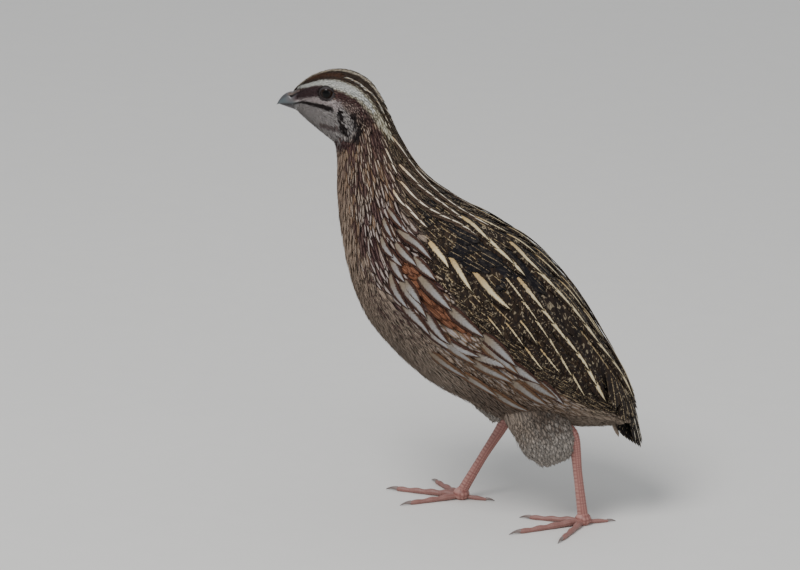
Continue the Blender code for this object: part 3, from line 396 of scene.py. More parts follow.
def hollow(u, angle):
    """Depth of the hollow that the folded wing lies in."""
    start, deep, shallow, end = HOLLOW_STATIONS
    outside, inside = HOLLOW_RIM
    top, low = wing_edge(u)
    angle = np.abs(signed(angle))
    along = smooth(start, deep, u) * (1 - smooth(shallow, end, u))
    upper = smooth(0.0, 1.0, (angle - top + outside) / (inside + outside))
    lower = smooth(0.0, 1.0, (angle - low + inside) / (inside + outside))
    back_x, back_z, belly_x, belly_z, half, _ = np.moveaxis(spline(STATIONS, u), -1, 0)
    radius = (half + np.hypot(back_x - belly_x, back_z - belly_z) / 2) / 2
    return along * upper * (1 - lower) * np.minimum(HOLLOW_DEPTH, HOLLOW_SHARE * radius)


def unwrap(u, angle):
    """The body's own unwrap: round it across, and along it up."""
    return np.stack([0.5 + np.asarray(angle) / 400.0, 0.04 + 0.05 * np.asarray(u)], -1)


def signed(angle):
    """The same angle between -180 and 180."""
    return (np.asarray(angle) + 180.0) % 360.0 - 180.0


# Meshes


def new_object(name, points, quads):
    """A mesh object in metres from arrays of points and four-sided faces."""
    mesh = bpy.data.meshes.new(name)
    mesh.vertices.add(len(points))
    mesh.vertices.foreach_set("co", ((points + SHIFT) * MM).astype(np.float32).ravel())
    mesh.loops.add(len(quads) * 4)
    mesh.loops.foreach_set("vertex_index", quads.astype(np.int32).ravel())
    mesh.polygons.add(len(quads))
    mesh.polygons.foreach_set("loop_start", np.arange(0, len(quads) * 4, 4, dtype=np.int32))
    mesh.update(calc_edges=True)
    mesh.shade_smooth()
    obj = bpy.data.objects.new(name, mesh)
    bpy.context.scene.collection.objects.link(obj)
    return obj


def set_colour(mesh, name, values):
    """A colour with its alpha for each point."""
    layer = mesh.attributes.new(name, "FLOAT_COLOR", "POINT")
    layer.data.foreach_set("color", np.ascontiguousarray(values, np.float32).ravel())


def set_uv(mesh, name, values):
    """A UV map from one value for each point."""
    corners = np.zeros(len(mesh.loops), np.int32)
    mesh.loops.foreach_get("vertex_index", corners)
    layer = mesh.uv_layers.new(name=name)
    layer.data.foreach_set("uv", values[corners].astype(np.float32).ravel())


def finish_piece(obj, material, slot, *nodes):
    """Material, body and the nodes of the part that a piece stands for. The slot is not used."""
    obj.data.materials.append(material)
    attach(obj, BODY)
    if nodes:
        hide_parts(*nodes)


def vane_faces(rows, columns):
    """Faces of one closed vane, whose lower side shares the rim of its upper side."""
    below = {}
    for i in range(rows):
        for j in range(columns):
            inside = 0 < i < rows - 1 and 0 < j < columns - 1
            below[i, j] = rows * columns + (i - 1) * (columns - 2) + j - 1 if inside else i * columns + j
    faces = []
    for i in range(rows - 1):
        for j in range(columns - 1):
            a = i * columns + j
            faces.append((a, a + 1, a + columns + 1, a + columns))
            faces.append((below[i, j], below[i + 1, j], below[i + 1, j + 1], below[i, j + 1]))
    return np.array(faces)


def vane_width(t, point, sharp):
    """Share of a vane's full width, t from its root to its tip."""
    swell = 0.62 + 0.38 * smooth(0.0, 0.30, t)
    end = np.maximum(0.0, (t - point) / (1 - point))
    return np.maximum(swell * np.maximum(0.0, 1 - end**2) ** sharp, 0.05)


def grow(name, surface, coat, rows, columns):
    """Feathers over a surface as one mesh of closed vanes.

    coat holds, for each feather, the stations and angles of its middle line ("u" and "a",
    one for each row), its heights, length, width, look, seed, where its end starts to narrow,
    its thickness, crown, tilt, fray and place on the unwrap, and for all how sharp they end.
    """
    u, a = coat["u"], coat["a"]
    count = len(u)
    t = np.linspace(0.0, 1.0, rows)
    c = np.linspace(-1.0, 1.0, columns)
    scale_u, scale_a = scales(surface, u, a, 0.03)
    scale_u, scale_a = np.maximum(scale_u, 0.5), np.maximum(scale_a, 0.02)
    run = unit(np.stack([np.gradient(u, axis=1) * scale_u, np.gradient(a, axis=1) * scale_a], -1))
    half = coat["width"][:, None] / 2 * vane_width(t[None, :], coat["point"][:, None], coat["sharp"])
    reach = half[..., None] * c
    back = coat["fray"][:, None, None] * t[None, :, None] ** 2 * np.abs(c) ** 1.5
    back = back * coat["width"][:, None, None]
    wide_u = u[..., None] + (reach * run[..., 1:2] - back * run[..., 0:1]) / scale_u[..., None]
    wide_a = a[..., None] + (-reach * run[..., 0:1] - back * run[..., 1:2]) / scale_a[..., None]
    out = normal_of(surface, wide_u, wide_a)
    crown = coat["crown"][:, None, None] * half[..., None] * (1 - c**2)
    height = coat["height"][..., None] + crown + coat["tilt"][:, None, None] * reach
    upper = surface(wide_u, wide_a) + out * height[..., None]
    thick = coat["thick"][:, None, None] * (1 - 0.5 * t[None, 1:-1, None])
    lower = upper[:, 1:-1, 1:-1] - out[:, 1:-1, 1:-1] * thick[..., None]
    points = np.concatenate([upper.reshape(count, -1, 3), lower.reshape(count, -1, 3)], 1)
    each = points.shape[1]
    quads = (vane_faces(rows, columns)[None] + np.arange(count)[:, None, None] * each).reshape(-1, 4)
    obj = new_object(name, points.reshape(-1, 3), quads)

    across = np.broadcast_to((c * 0.5 + 0.5)[None, :], (rows, columns))
    length = np.broadcast_to(t[:, None], (rows, columns))
    flat = np.stack([across, length], -1)
    flat = np.concatenate([flat.reshape(-1, 2), flat[1:-1, 1:-1].reshape(-1, 2)])
    place = coat["patch"][:, None] + (flat - 0.5)[None] * coat["patch_size"]
    set_uv(obj.data, "OFBake", place.reshape(-1, 2))
    set_uv(obj.data, "Vane", np.broadcast_to(flat, (count, each, 2)).reshape(-1, 2))
    looks = coat["look"]
    aspect = coat["length"] / coat["width"]
    trait = np.stack([looks[:, 12], looks[:, 13], coat["seed"], aspect], -1)
    for layer, values in (
        ("ground", looks[:, 0:4]),
        ("streak", looks[:, 4:8]),
        ("margin", looks[:, 8:12]),
        ("trait", trait),
    ):
        set_colour(obj.data, layer, np.repeat(values, each, 0))
    return obj


def scales(surface, u, a, step=0.05):
    """Millimetres for one station and for one degree at each place."""
    along = np.linalg.norm(surface(u + step, a) - surface(u - step, a), axis=-1) / (2 * step)
    return along, np.linalg.norm(surface(u, a + 1.0) - surface(u, a - 1.0), axis=-1) / 2


def roots(surface, stations, angles, size, draw, along=0.3, across=0.62):
    """Staggered roots over part of a surface. size gives length and width at a station."""
    u, row, found_u, found_a = stations[0], 0, [], []
    probe = np.linspace(angles[0], angles[1], 24)
    while u < stations[1]:
        length, width = size(u)
        scale_u, scale_a = scales(surface, np.full(len(probe), u), probe)
        count = max(3, int((angles[1] - angles[0]) * scale_a.mean() / (width * across)))
        step = (angles[1] - angles[0]) / count
        a = angles[0] + (np.arange(count) + 0.5 * (row % 2) + draw.uniform(-0.3, 0.3, count)) * step
        here = np.interp(a, probe, scale_u)
        keep = draw.uniform(size=count) < here / scale_u.max() * 1.15
        found_a.append(a[keep])
        found_u.append(u + draw.uniform(-0.3, 0.3, keep.sum()) * length * along / scale_u.max())
        u += length * along / scale_u.max()
        row += 1
    return np.concatenate(found_u), np.concatenate(found_a)


def lay(surface, u, a, length, turn, rows):
    """Middle lines of feathers that lie towards the tail, turned down by some degrees."""
    along, around = scales(surface, u, a)
    side = np.where(signed(a) >= 0, 1.0, -1.0)
    t = np.linspace(0.0, 1.0, rows)[None, :]
    du = -length * np.cos(np.radians(turn)) / np.maximum(along, 1.0)
    da = side * length * np.sin(np.radians(turn)) / np.maximum(around, 0.05)
    return u[:, None] + du[:, None] * t, a[:, None] + da[:, None] * t


def dense(line, steps=12):
    """Points in space along a marking's line."""
    line = np.asarray(line, float)
    s = np.linspace(0, len(line) - 1, (len(line) - 1) * steps + 1)
    u, a = np.moveaxis(spline(line, s), -1, 0)
    return body(u, a)


def near(points, line, widths, soft=0.35, wave=None):
    """1 within the half widths of a marking's line, on both sides of the bird, and 0 away from it."""
    spots = dense(line)
    widths = np.atleast_1d(np.asarray(widths, float))
    widths = np.interp(np.linspace(0, 1, len(spots)), np.linspace(0, 1, len(widths)), widths)
    folded = np.stack([points[:, 0], np.abs(points[:, 1]), points[:, 2]], -1)
    share = np.full(len(points), 1e9)
    for spot, width in zip(spots, widths):
        share = np.minimum(share, np.linalg.norm(folded - spot, axis=1) / width)
    if wave is not None:
        share = share + wave
    return 1 - smooth(1 - soft, 1 + soft, share)


def over(looks, name, mask):
    """Lays one kind of look over others, where the mask says."""
    looks += (look(name)[None, :] - looks) * mask[:, None]


def between(x, low, high, soft):
    """1 between two limits, with soft edges."""
    return smooth(low - soft, low + soft, x) * (1 - smooth(high - soft, high + soft, x))


def markings(u, a, draw=None):
    """The look at each place of the body, with random differences where draw is given."""
    a = np.abs(signed(a))
    p = body(u, a)
    wave = draw.normal(0, 0.25, len(u)) if draw else np.zeros(len(u))
    spread = a + 12 * wave
    _, low = wing_edge(u)
    looks = np.repeat(look("belly")[None, :], len(u), 0)
    over(looks, "vent", (1 - smooth(0.4, 2.4, u)) * smooth(100, 130, a))
    over(looks, "soft", between(u, 0.0, 5.4, 0.8) * between(spread, 84, 116, 7))
    over(looks, "breast", smooth(5.2, 8.8, u + 0.6 * wave) * smooth(96, 122, spread))
    over(looks, "neck", smooth(7.4, 8.8, u) * between(spread, 35, 120, 8))
    over(looks, "throat skirt", smooth(8.8, 10.4, u) * smooth(112, 128, spread))
    over(looks, "spotted", between(u + 0.3 * wave, 5.4, 9.0, 0.5) * between(spread, 52, 108, 5))
    over(looks, "soft", between(u, 3.2, 6.2, 0.6) * between(spread, 80, 106, 5))
    # painted shade under the flank, above and behind the thighs
    over(looks, "hip", between(u, 1.4, 4.2, 0.6) * between(spread, 112, 150, 9) * 0.7)
    if draw:
        pick = draw.uniform(size=len(u))
        streaky = between(u, 5.6, 11.3, 0.5) * between(a, 36, 128, 8)
        over(looks, "maroon", streaky * (pick < 0.25) * 0.85)
        over(looks, "tawny", streaky * (pick > 0.78) * smooth(7.2, 8.6, u))
    over(looks, "chestnut", near(p, CHESTNUT, (2.2, 3.4, 3.6, 2.2), 0.3, wave))
    over(looks, "covert", between(u, 1.0, 6.6, 0.3) * between(a, 30, low + 2, 3))
    over(looks, "mantle", (1 - smooth(46, 54, a)) * (1 - smooth(7.6, 9.0, u)))
    over(looks, "rump", (1 - smooth(1.0, 2.4, u)) * (1 - smooth(80, 90, spread)))
    over(looks, "under", (1 - smooth(0.8, 2.2, u)) * smooth(86, 98, spread) * 0.85)
    if draw:
        over(looks, "black", (pick < 0.3) * (1 - smooth(46, 54, a)) * (1 - smooth(7.6, 9.0, u)) * 0.9)
    over(looks, "nape", smooth(7.8, 9.2, u) * (1 - smooth(30, 44, spread)))
    over(looks, "throat", smooth(11.3, 12.0, u) * smooth(76, 90, a))
    over(looks, "ear", smooth(11.6, 12.6, u) * between(a, 50, 82, 6))
    over(looks, "crown", smooth(11.2, 12.4, u) * (1 - smooth(38, 48, a)))
    over(looks, "rufous", near(p, RUFOUS, 1.2, 0.6, wave) * 0.6)
    over(looks, "cheek", near(p, CHEEK, (0.9, 1.5, 2.0), 0.4, wave * 0.5))
    over(looks, "lore", near(p, LORE, (1.0, 1.8, 1.9), 0.3, wave * 0.5))
    over(looks, "dark ear", near(p, EAR, (1.7, 1.6, 1.2), 0.5, wave * 1.4))
    over(looks, "maroon", near(p, SIDE_COLUMN, 1.7, 0.5, wave * 1.8) * 0.85)
    over(looks, "maroon", near(p, COLLAR, 1.5, 0.5, wave * 1.8))
    over(looks, "ink", near(p, THROAT_BAR, (0.6, 1.0, 1.5), 0.5, wave * 1.3))
    over(looks, "maroon", near(p, THROAT_SPOT, 1.1, 0.5, wave * 1.5) * 0.7)
    over(looks, "ink", near(p, SIDE_BAR, 1.2, 0.5, wave * 2.0) * 0.95)
    over(looks, "low brow", near(p, BROW[4:], (1.4, 1.9, 1.9, 1.5, 1.0, 0.5), 0.4, wave * 0.5))
    over(looks, "brow", near(p, BROW[:9], (0.5, 0.7, 0.8, 1.3, 1.5, 1.2, 0.6), 0.35, wave * 0.4))
    over(looks, "white line", near(p, NAPE_LINE, (0.30, 0.36, 0.36), 0.5))
    over(looks, "median", near(p, CROWN_LINE, 1.15, 0.4))
    over(looks, "ink", near(p, MOUSTACHE, (0.4, 0.4, 0.6, 0.8, 0.8), 0.4, wave * 0.5))
    around_eye = np.linalg.norm((p - EYE)[:, [0, 2]] / np.array([3.3, 2.6]), axis=1)
    over(looks, "ink", (1 - smooth(0.9, 1.1, around_eye)) * 0.9)
    return looks


def coat_of(draw, u, a, height, length, width, looks=None, patch=None, **shape):
    """Feathers for grow(): middle lines, heights and sizes, with the usual shape unless given."""
    count = len(u)
    coat = {"point": 0.45, "thick": 0.10, "crown": 0.16, "tilt": 0.0, "fray": 0.10, "sharp": 0.6}
    coat.update(shape)
    coat = {k: v if k == "sharp" else v * np.ones(count) for k, v in coat.items()}
    patch = unwrap(u[:, 0], signed(a[:, 0])) if patch is None else patch
    coat.update(u=u, a=a, height=height, length=length * np.ones(count), width=width * np.ones(count))
    coat.update(seed=draw.uniform(size=count), patch=patch, patch_size=0.003, look=looks)
    return coat


def base_coat(u, a, length, width, depth, draw, rows, surface=body, lift=0.15):
    """The usual coat over given roots, ready for its look."""
    count = len(u)
    length = length * draw.uniform(0.85, 1.15, count)
    centre_u, centre_a = lay(surface, u, a, length, draw.normal(0, 5.0, count), rows)
    t = np.linspace(0.0, 1.0, rows)[None, :]
    rise = (depth + lift + draw.normal(0, 0.08, count))[:, None]
    height = -depth[:, None] + rise * t**0.75
    return coat_of(draw, centre_u, centre_a, height, length, width * draw.uniform(0.85, 1.15, count))


def vary(looks, draw, amount=0.12):
    """Small differences of lightness from feather to feather."""
    shade = 1 + draw.normal(0, amount, len(looks))[:, None]
    looks[:, 0:3] *= np.clip(shade, 0.5, 1.5)
    looks[:, 4:7] *= np.clip(1 + (shade - 1) * 0.5, 0.7, 1.3)
    looks[:, 8:11] *= np.clip(shade, 0.5, 1.5)
    return looks


def join(*coats):
    """Several coats as one."""
    joined = {}
    for key, first in coats[0].items():
        joined[key] = np.concatenate([c[key] for c in coats]) if isinstance(first, np.ndarray) else first
    return joined


def coat_depth(u):
    """Depth of the coat over the skin at a station."""
    return np.interp(u, COAT_STATIONS, COAT_DEPTH)


def near_eye(u, a):
    """How far a place is from the middle of the eye, seen from the side, as a share of the lids."""
    p = body(u, a)
    flat = np.hypot((p[:, 0] - EYE[0]) / LID_REACH[0], (p[:, 2] - EYE[2]) / LID_REACH[1])
    return np.where(np.abs(p[:, 1]) > 3.0, flat, 9.0)


def chain(line, count, length, width, share, kind, height, draw, rows, side):
    """Long feathers one after another along a line over the body."""
    line = np.asarray(line, float)
    s = np.linspace(0, len(line) - 1, 80)
    u, a = np.moveaxis(spline(line, s), -1, 0)
    p = body(u, a)
    far = np.concatenate([[0.0], np.cumsum(np.linalg.norm(np.diff(p, axis=0), axis=1))])
    starts = np.linspace(0.0, max(far[-1] - length, 0.0), count)
    t = np.linspace(0.0, 1.0, rows)
    reach = starts[:, None] + min(length, far[-1]) * t[None, :]
    loose = 0.3 if side > 0 else 1.0  # the left side keeps closer to the photo's lines
    centre_u = np.interp(reach, far, u) + draw.normal(0, 0.06, (count, 1)) * loose
    centre_a = (np.interp(reach, far, a) + draw.normal(0, 1.0, (count, 1)) * loose) * side
    looks = np.repeat(look(kind)[None, :], count, 0)
    looks[:, 7] = share
    rise = -0.6 + (height + 0.6) * t[None, :] ** 0.4 + draw.normal(0, 0.04, count)[:, None]
    width = width * draw.uniform(0.92, 1.08, count)
    shape = {"point": 0.30, "sharp": 0.8, "thick": 0.16, "crown": 0.14, "fray": 0.05}
    return coat_of(draw, centre_u, centre_a, rise, length, width, vary(looks, draw, 0.06), **shape)


# Materials


def new_group(name, inputs, outputs):
    """An empty shader node group with named inputs and outputs."""
    tree = bpy.data.node_groups.new(name, "ShaderNodeTree")
    for label, kind in inputs:
        tree.interface.new_socket(label, in_out="INPUT", socket_type="NodeSocket" + kind)
    for label, kind in outputs:
        tree.interface.new_socket(label, in_out="OUTPUT", socket_type="NodeSocket" + kind)
    return tree, tree.nodes.new("NodeGroupInput").outputs, tree.nodes.new("NodeGroupOutput").inputs


def feed(tree, value, socket):
    """Links a socket, or sets a plain value."""
    if isinstance(value, bpy.types.NodeSocket):
        tree.links.new(value, socket)
    else:
        socket.default_value = value


def calc(tree, operation, *values):
    """One sum of the node tree."""
    node = tree.nodes.new("ShaderNodeMath")
    node.operation = operation
    for value, socket in zip(values, node.inputs):
        feed(tree, value, socket)
    return node.outputs[0]


def times(tree, first, second):
    return calc(tree, "MULTIPLY", first, second)


def plus(tree, first, second):
    return calc(tree, "ADD", first, second)


def minus(tree, first, second):
    return calc(tree, "SUBTRACT", first, second)


def scaled(tree, value, factor, offset):
    return calc(tree, "MULTIPLY_ADD", value, factor, offset)


def ramp(tree, value, low, high):
    """0 below low, 1 above high, and an even S between."""
    node = tree.nodes.new("ShaderNodeMapRange")
    node.interpolation_type = "SMOOTHSTEP"
    feed(tree, value, node.inputs["Value"])
    feed(tree, low, node.inputs["From Min"])
    feed(tree, high, node.inputs["From Max"])
    return node.outputs["Result"]


def mixed(tree, factor, first, second, way="MIX"):
    node = tree.nodes.new("ShaderNodeMix")
    node.data_type = "RGBA"
    node.blend_type = way
    feed(tree, factor, node.inputs[0])
    feed(tree, first, node.inputs[6])
    feed(tree, second, node.inputs[7])
    return node.outputs[2]


def noise(tree, vector, scale, detail=2.0):
    node = tree.nodes.new("ShaderNodeTexNoise")
    node.inputs["Scale"].default_value = scale
    node.inputs["Detail"].default_value = detail
    tree.links.new(vector, node.inputs["Vector"])
    return node.outputs["Fac"]


def split(tree, vector):
    node = tree.nodes.new("ShaderNodeSeparateXYZ")
    tree.links.new(vector, node.inputs[0])
    return node.outputs


def vector_of(tree, x, y, z):
    node = tree.nodes.new("ShaderNodeCombineXYZ")
    for value, socket in zip((x, y, z), node.inputs):
        feed(tree, value, socket)
    return node.outputs[0]


def vane_pattern_group():
    """Streak, its border, bars and margin of one feather."""
    inputs = [("Vane", "Vector"), ("Ground", "Color"), ("Streak", "Color"), ("Streak Width", "Float")]
    inputs += [("Margin", "Color"), ("Margin Width", "Float"), ("Bars", "Float"), ("Border", "Float")]
    inputs += [("Seed", "Float"), ("Aspect", "Float"), ("Bar Colour", "Color"), ("Border Colour", "Color")]
    inputs += [("Streak Side", "Color")]
    tree, given, put = new_group("Vane pattern", inputs, [("Colour", "Color")])
    x, y, _ = split(tree, given["Vane"])
    off = calc(tree, "ABSOLUTE", scaled(tree, x, 2.0, -1.0))
    far = times(tree, given["Seed"], 91.0)
    long = times(tree, y, given["Aspect"])
    wander = minus(tree, noise(tree, vector_of(tree, x, long, far), 3.0), 0.5)
    fine = minus(tree, noise(tree, vector_of(tree, x, times(tree, long, 0.3), far), 11.0), 0.5)
    run = minus(tree, times(tree, long, 18.0), times(tree, off, 9.0))
    teeth = noise(tree, vector_of(tree, run, times(tree, off, 0.8), far), 1.0, 3.0)
    teeth = scaled(tree, teeth, 0.5, -0.25)
    ragged = plus(tree, scaled(tree, fine, 0.24, off), teeth)

    narrow = minus(tree, 1.0, times(tree, ramp(tree, y, 0.78, 1.0), 0.6))
    wide = times(tree, given["Streak Width"], narrow)
    soft = scaled(tree, wide, 1.25, 0.04)
    streak = minus(tree, 1.0, ramp(tree, ragged, times(tree, wide, 0.7), soft))
    edge_start = plus(tree, wide, 0.14)
    edge_end = plus(tree, wide, 0.40)
    border = minus(tree, 1.0, ramp(tree, ragged, edge_start, edge_end))
    border = times(tree, border, given["Border"])

    bend = times(tree, times(tree, off, off), 0.55)
    phase = scaled(tree, y, given["Bars"], times(tree, wander, 1.4))
    phase = plus(tree, minus(tree, phase, bend), given["Seed"])
    wave = calc(tree, "PINGPONG", phase, 0.5)
    barred = ramp(tree, given["Bars"], 0.5, 1.5)
    spread = times(tree, long, scaled(tree, given["Bars"], 0.28, 1.2))
    spread = minus(tree, spread, times(tree, off, 0.6))
    contour = noise(tree, vector_of(tree, times(tree, x, 1.6), spread, far), 1.0, 1.5)
    line = calc(tree, "ABSOLUTE", minus(tree, contour, 0.5))
    bars = times(tree, minus(tree, 1.0, ramp(tree, line, 0.012, 0.042)), barred)
    gaps = scaled(tree, fine, 0.25, times(tree, wander, 1.5))
    bars = times(tree, bars, ramp(tree, gaps, -0.02, 0.12))
    shadow = times(tree, times(tree, ramp(tree, wave, 0.10, 0.34), barred), 0.7)

    tip = times(tree, minus(tree, 1.0, y), times(tree, given["Aspect"], 2.0))
    rim = calc(tree, "MAXIMUM", ragged, minus(tree, 1.0, tip))
    inner = minus(tree, 1.0, times(tree, given["Margin Width"], 1.5))
    outer = minus(tree, 1.0, times(tree, given["Margin Width"], 0.5))
    margin = ramp(tree, rim, inner, outer)

    worn = calc(tree, "MAXIMUM", margin, times(tree, wander, 2.2))
    colour = mixed(tree, worn, given["Ground"], given["Margin"])
    colour = mixed(tree, shadow, colour, given["Border Colour"])
    colour = mixed(tree, times(tree, bars, 0.85), colour, given["Bar Colour"])
    colour = mixed(tree, times(tree, border, 0.9), colour, given["Border Colour"])
    side = ramp(tree, ragged, times(tree, wide, 0.15), times(tree, wide, 1.1))
    root = minus(tree, 1.0, ramp(tree, y, 0.15, 0.75))
    side = calc(tree, "MAXIMUM", times(tree, side, 0.7), times(tree, root, 0.95))
    tinted = mixed(tree, side, given["Streak"], given["Streak Side"], "MULTIPLY")
    colour = mixed(tree, streak, colour, tinted)
    feed(tree, colour, put["Colour"])
    return tree


def barb_group():
    """Fine barbs that run out from the shaft to the margin, and the shaft's ridge."""
    inputs = [("Vane", "Vector"), ("Seed", "Float"), ("Aspect", "Float"), ("Barbs", "Float")]
    tree, given, put = new_group("Barbs", inputs, [("Shade", "Float"), ("Height", "Float")])
    x, y, _ = split(tree, given["Vane"])
    off = calc(tree, "ABSOLUTE", scaled(tree, x, 2.0, -1.0))
    long = times(tree, y, times(tree, given["Aspect"], 2.0))
    run = minus(tree, long, off)
    far = times(tree, given["Seed"], 57.0)
    vector = vector_of(tree, times(tree, run, given["Barbs"]), times(tree, off, 0.8), far)
    hair = noise(tree, vector, 1.0, 3.0)
    shaft = minus(tree, 1.0, ramp(tree, off, 0.02, 0.10))
    feed(tree, hair, put["Shade"])
    feed(tree, scaled(tree, shaft, 0.5, hair), put["Height"])
    return tree


def mottle_group():
    """Uneven colour and a fine grain, for skin and horn."""
    inputs = [("Position", "Vector"), ("Colour", "Color"), ("Patch Size", "Float"), ("Grain Size", "Float")]
    inputs += [("Amount", "Float")]
    outputs = [("Colour", "Color"), ("Shade", "Float"), ("Height", "Float")]
    tree, given, put = new_group("Mottle", inputs, outputs)
    patch = tree.nodes.new("ShaderNodeTexNoise")
    grain = tree.nodes.new("ShaderNodeTexNoise")
    for node, label in ((patch, "Patch Size"), (grain, "Grain Size")):
        node.inputs["Detail"].default_value = 4.0
        feed(tree, given["Position"], node.inputs["Vector"])
        feed(tree, calc(tree, "DIVIDE", 1.0, given[label]), node.inputs["Scale"])
    both = plus(tree, patch.outputs["Fac"], grain.outputs["Fac"])
    shade = plus(tree, 1.0, times(tree, minus(tree, both, 1.0), given["Amount"]))
    feed(tree, mixed(tree, 1.0, given["Colour"], shade, "MULTIPLY"), put["Colour"])
    feed(tree, patch.outputs["Fac"], put["Shade"])
    feed(tree, both, put["Height"])
    return tree


def group(maker, name):
    """A node group, built once."""
    return bpy.data.node_groups.get(name) or maker()


def place_group(tree, maker, name, **values):
    node = tree.nodes.new("ShaderNodeGroup")
    node.node_tree = group(maker, name)
    for label, value in values.items():
        feed(tree, value, node.inputs[label.replace("_", " ")])
    return node.outputs


def attribute(tree, name):
    node = tree.nodes.new("ShaderNodeAttribute")
    node.attribute_name = name
    return node.outputs


def new_material(name, roughness, sheen=0.0, coat=0.0):
    material = bpy.data.materials.new(name)
    material.use_nodes = True
    tree = material.node_tree
    shader = tree.nodes["Principled BSDF"]
    shader.inputs["Roughness"].default_value = roughness
    shader.inputs["Sheen Weight"].default_value = sheen
    shader.inputs["Coat Weight"].default_value = coat
    return material, tree, shader.inputs


def bump(tree, height, strength, distance, socket):
    node = tree.nodes.new("ShaderNodeBump")
    node.inputs["Strength"].default_value = strength
    node.inputs["Distance"].default_value = distance
    tree.links.new(height, node.inputs["Height"])
    tree.links.new(node.outputs[0], socket)


def feather_material(name, bar_colour, border_colour, side_colour, barbs, contrast):
    """Feathers, which carry their own colours and markings as attributes."""
    if name in bpy.data.materials:
        return bpy.data.materials[name]
    material, tree, put = new_material(name, 0.8, sheen=0.03)
    put["Sheen Roughness"].default_value = 0.4
    put["Specular IOR Level"].default_value = 0.15
    vane = tree.nodes.new("ShaderNodeUVMap")
    vane.uv_map = "Vane"
    ground, streak, margin, trait = (attribute(tree, n) for n in ("ground", "streak", "margin", "trait"))
    kinds = split(tree, trait["Vector"])
    shared = {"Vane": vane.outputs[0], "Seed": kinds[2], "Aspect": trait["Alpha"]}
    pattern = place_group(
        tree,
        vane_pattern_group,
        "Vane pattern",
        **shared,
        Ground=ground["Color"],
        Streak=streak["Color"],
        Streak_Width=streak["Alpha"],
        Margin=margin["Color"],
        Margin_Width=margin["Alpha"],
        Bars=kinds[0],
        Border=kinds[1],
        Bar_Colour=(*bar_colour, 1.0),
        Border_Colour=(*border_colour, 1.0),
        Streak_Side=(*side_colour, 1.0),
    )
    hair = place_group(tree, barb_group, "Barbs", **shared, Barbs=barbs)
    low = scaled(tree, ramp(tree, hair["Shade"], 0.3, 0.7), contrast, 1.0 - contrast * 0.6)
    feed(tree, mixed(tree, 1.0, pattern["Colour"], low, "MULTIPLY"), put["Base Color"])
    feed(tree, scaled(tree, hair["Shade"], -0.25, 0.95), put["Roughness"])
    bump(tree, hair["Height"], 0.5, 0.00012, put["Normal"])
    return material


def mottled_material(name, roughness, patch, grain, amount, depth, coat=0.0, colour=None):
    """Skin or horn whose colour comes from the piece's own points."""
    if name in bpy.data.materials:
        return bpy.data.materials[name]
    material, tree, put = new_material(name, roughness, coat=coat)
    where = tree.nodes.new("ShaderNodeTexCoord").outputs["Object"]
    base = attribute(tree, "ground")["Color"] if colour is None else (*colour, 1.0)
    sizes = {"Patch_Size": patch, "Grain_Size": grain, "Amount": amount}
    mottle = place_group(tree, mottle_group, "Mottle", Position=where, Colour=base, **sizes)
    feed(tree, mottle["Colour"], put["Base Color"])
    feed(tree, scaled(tree, mottle["Shade"], 0.3, roughness - 0.15), put["Roughness"])
    bump(tree, mottle["Height"], 0.4, depth, put["Normal"])
    return material


def plumage(quills=False):
    """The material of body feathers or of quills."""
    colours = bpy.context.scene.quail_plumage
    name, barbs = ("Quill feathers", 11.0) if quills else ("Body feathers", 6.0)
    return feather_material(name, colours.bar, colours.border, colours.streak_side, barbs, 0.45)


# Shapes of legs, bill and eyes


def paint(obj, colours):
    """The ground colour of each point of a piece."""
    colours = np.asarray(colours, float)
    if colours.shape[-1] == 3:
        colours = np.concatenate([colours, np.ones(colours.shape[:-1] + (1,))], -1)
    set_colour(obj.data, "ground", colours.reshape(-1, 4))


def tube(name, rings):
    """A closed tube through rings of points, with one face over each end."""
    rings = np.asarray(rings)
    count, sides = rings.shape[:2]
    i, j = np.meshgrid(np.arange(count - 1), np.arange(sides), indexing="ij")
    k = (j + 1) % sides
    quads = np.stack([i * sides + j, i * sides + k, (i + 1) * sides + k, (i + 1) * sides + j], -1)
    obj = new_object(name, rings.reshape(-1, 3), quads.reshape(-1, 4))
    work = bmesh.new()
    work.from_mesh(obj.data)
    work.faces.ensure_lookup_table()
    ends = [e for e in work.edges if e.is_boundary]
    bmesh.ops.holes_fill(work, edges=ends, sides=0)
    bmesh.ops.recalc_face_normals(work, faces=work.faces)
    for face in work.faces:
        face.smooth = True
    work.to_mesh(obj.data)
    work.free()
    return obj


def axes(path, across):
    """Directions along a path, across it and square to both."""
    ahead = unit(np.gradient(path, axis=0))
    side = unit(across - ahead * (ahead @ across)[:, None])
    return ahead, side, np.cross(ahead, side)


def ring_tube(path, sizes, sides, across, shape=None):
    """Elliptic rings square to a path. shape gives extra height from distance and angle."""
    _, side, up = axes(path, np.asarray(across, float))
    b = 2 * np.pi * np.arange(sides) / sides
    far = np.concatenate([[0.0], np.cumsum(np.linalg.norm(np.diff(path, axis=0), axis=1))])
    extra = shape(far[:, None], b[None, :]) if shape else np.zeros((len(path), sides))
    wide = (sizes[:, 0:1] + extra) * np.cos(b)
    deep = (sizes[:, 1:2] + extra) * np.sin(b)
    return path[:, None] + side[:, None] * wide[..., None] + up[:, None] * deep[..., None], extra


def along_path(points, count):
    return spline(points, np.linspace(0, len(points) - 1, count))


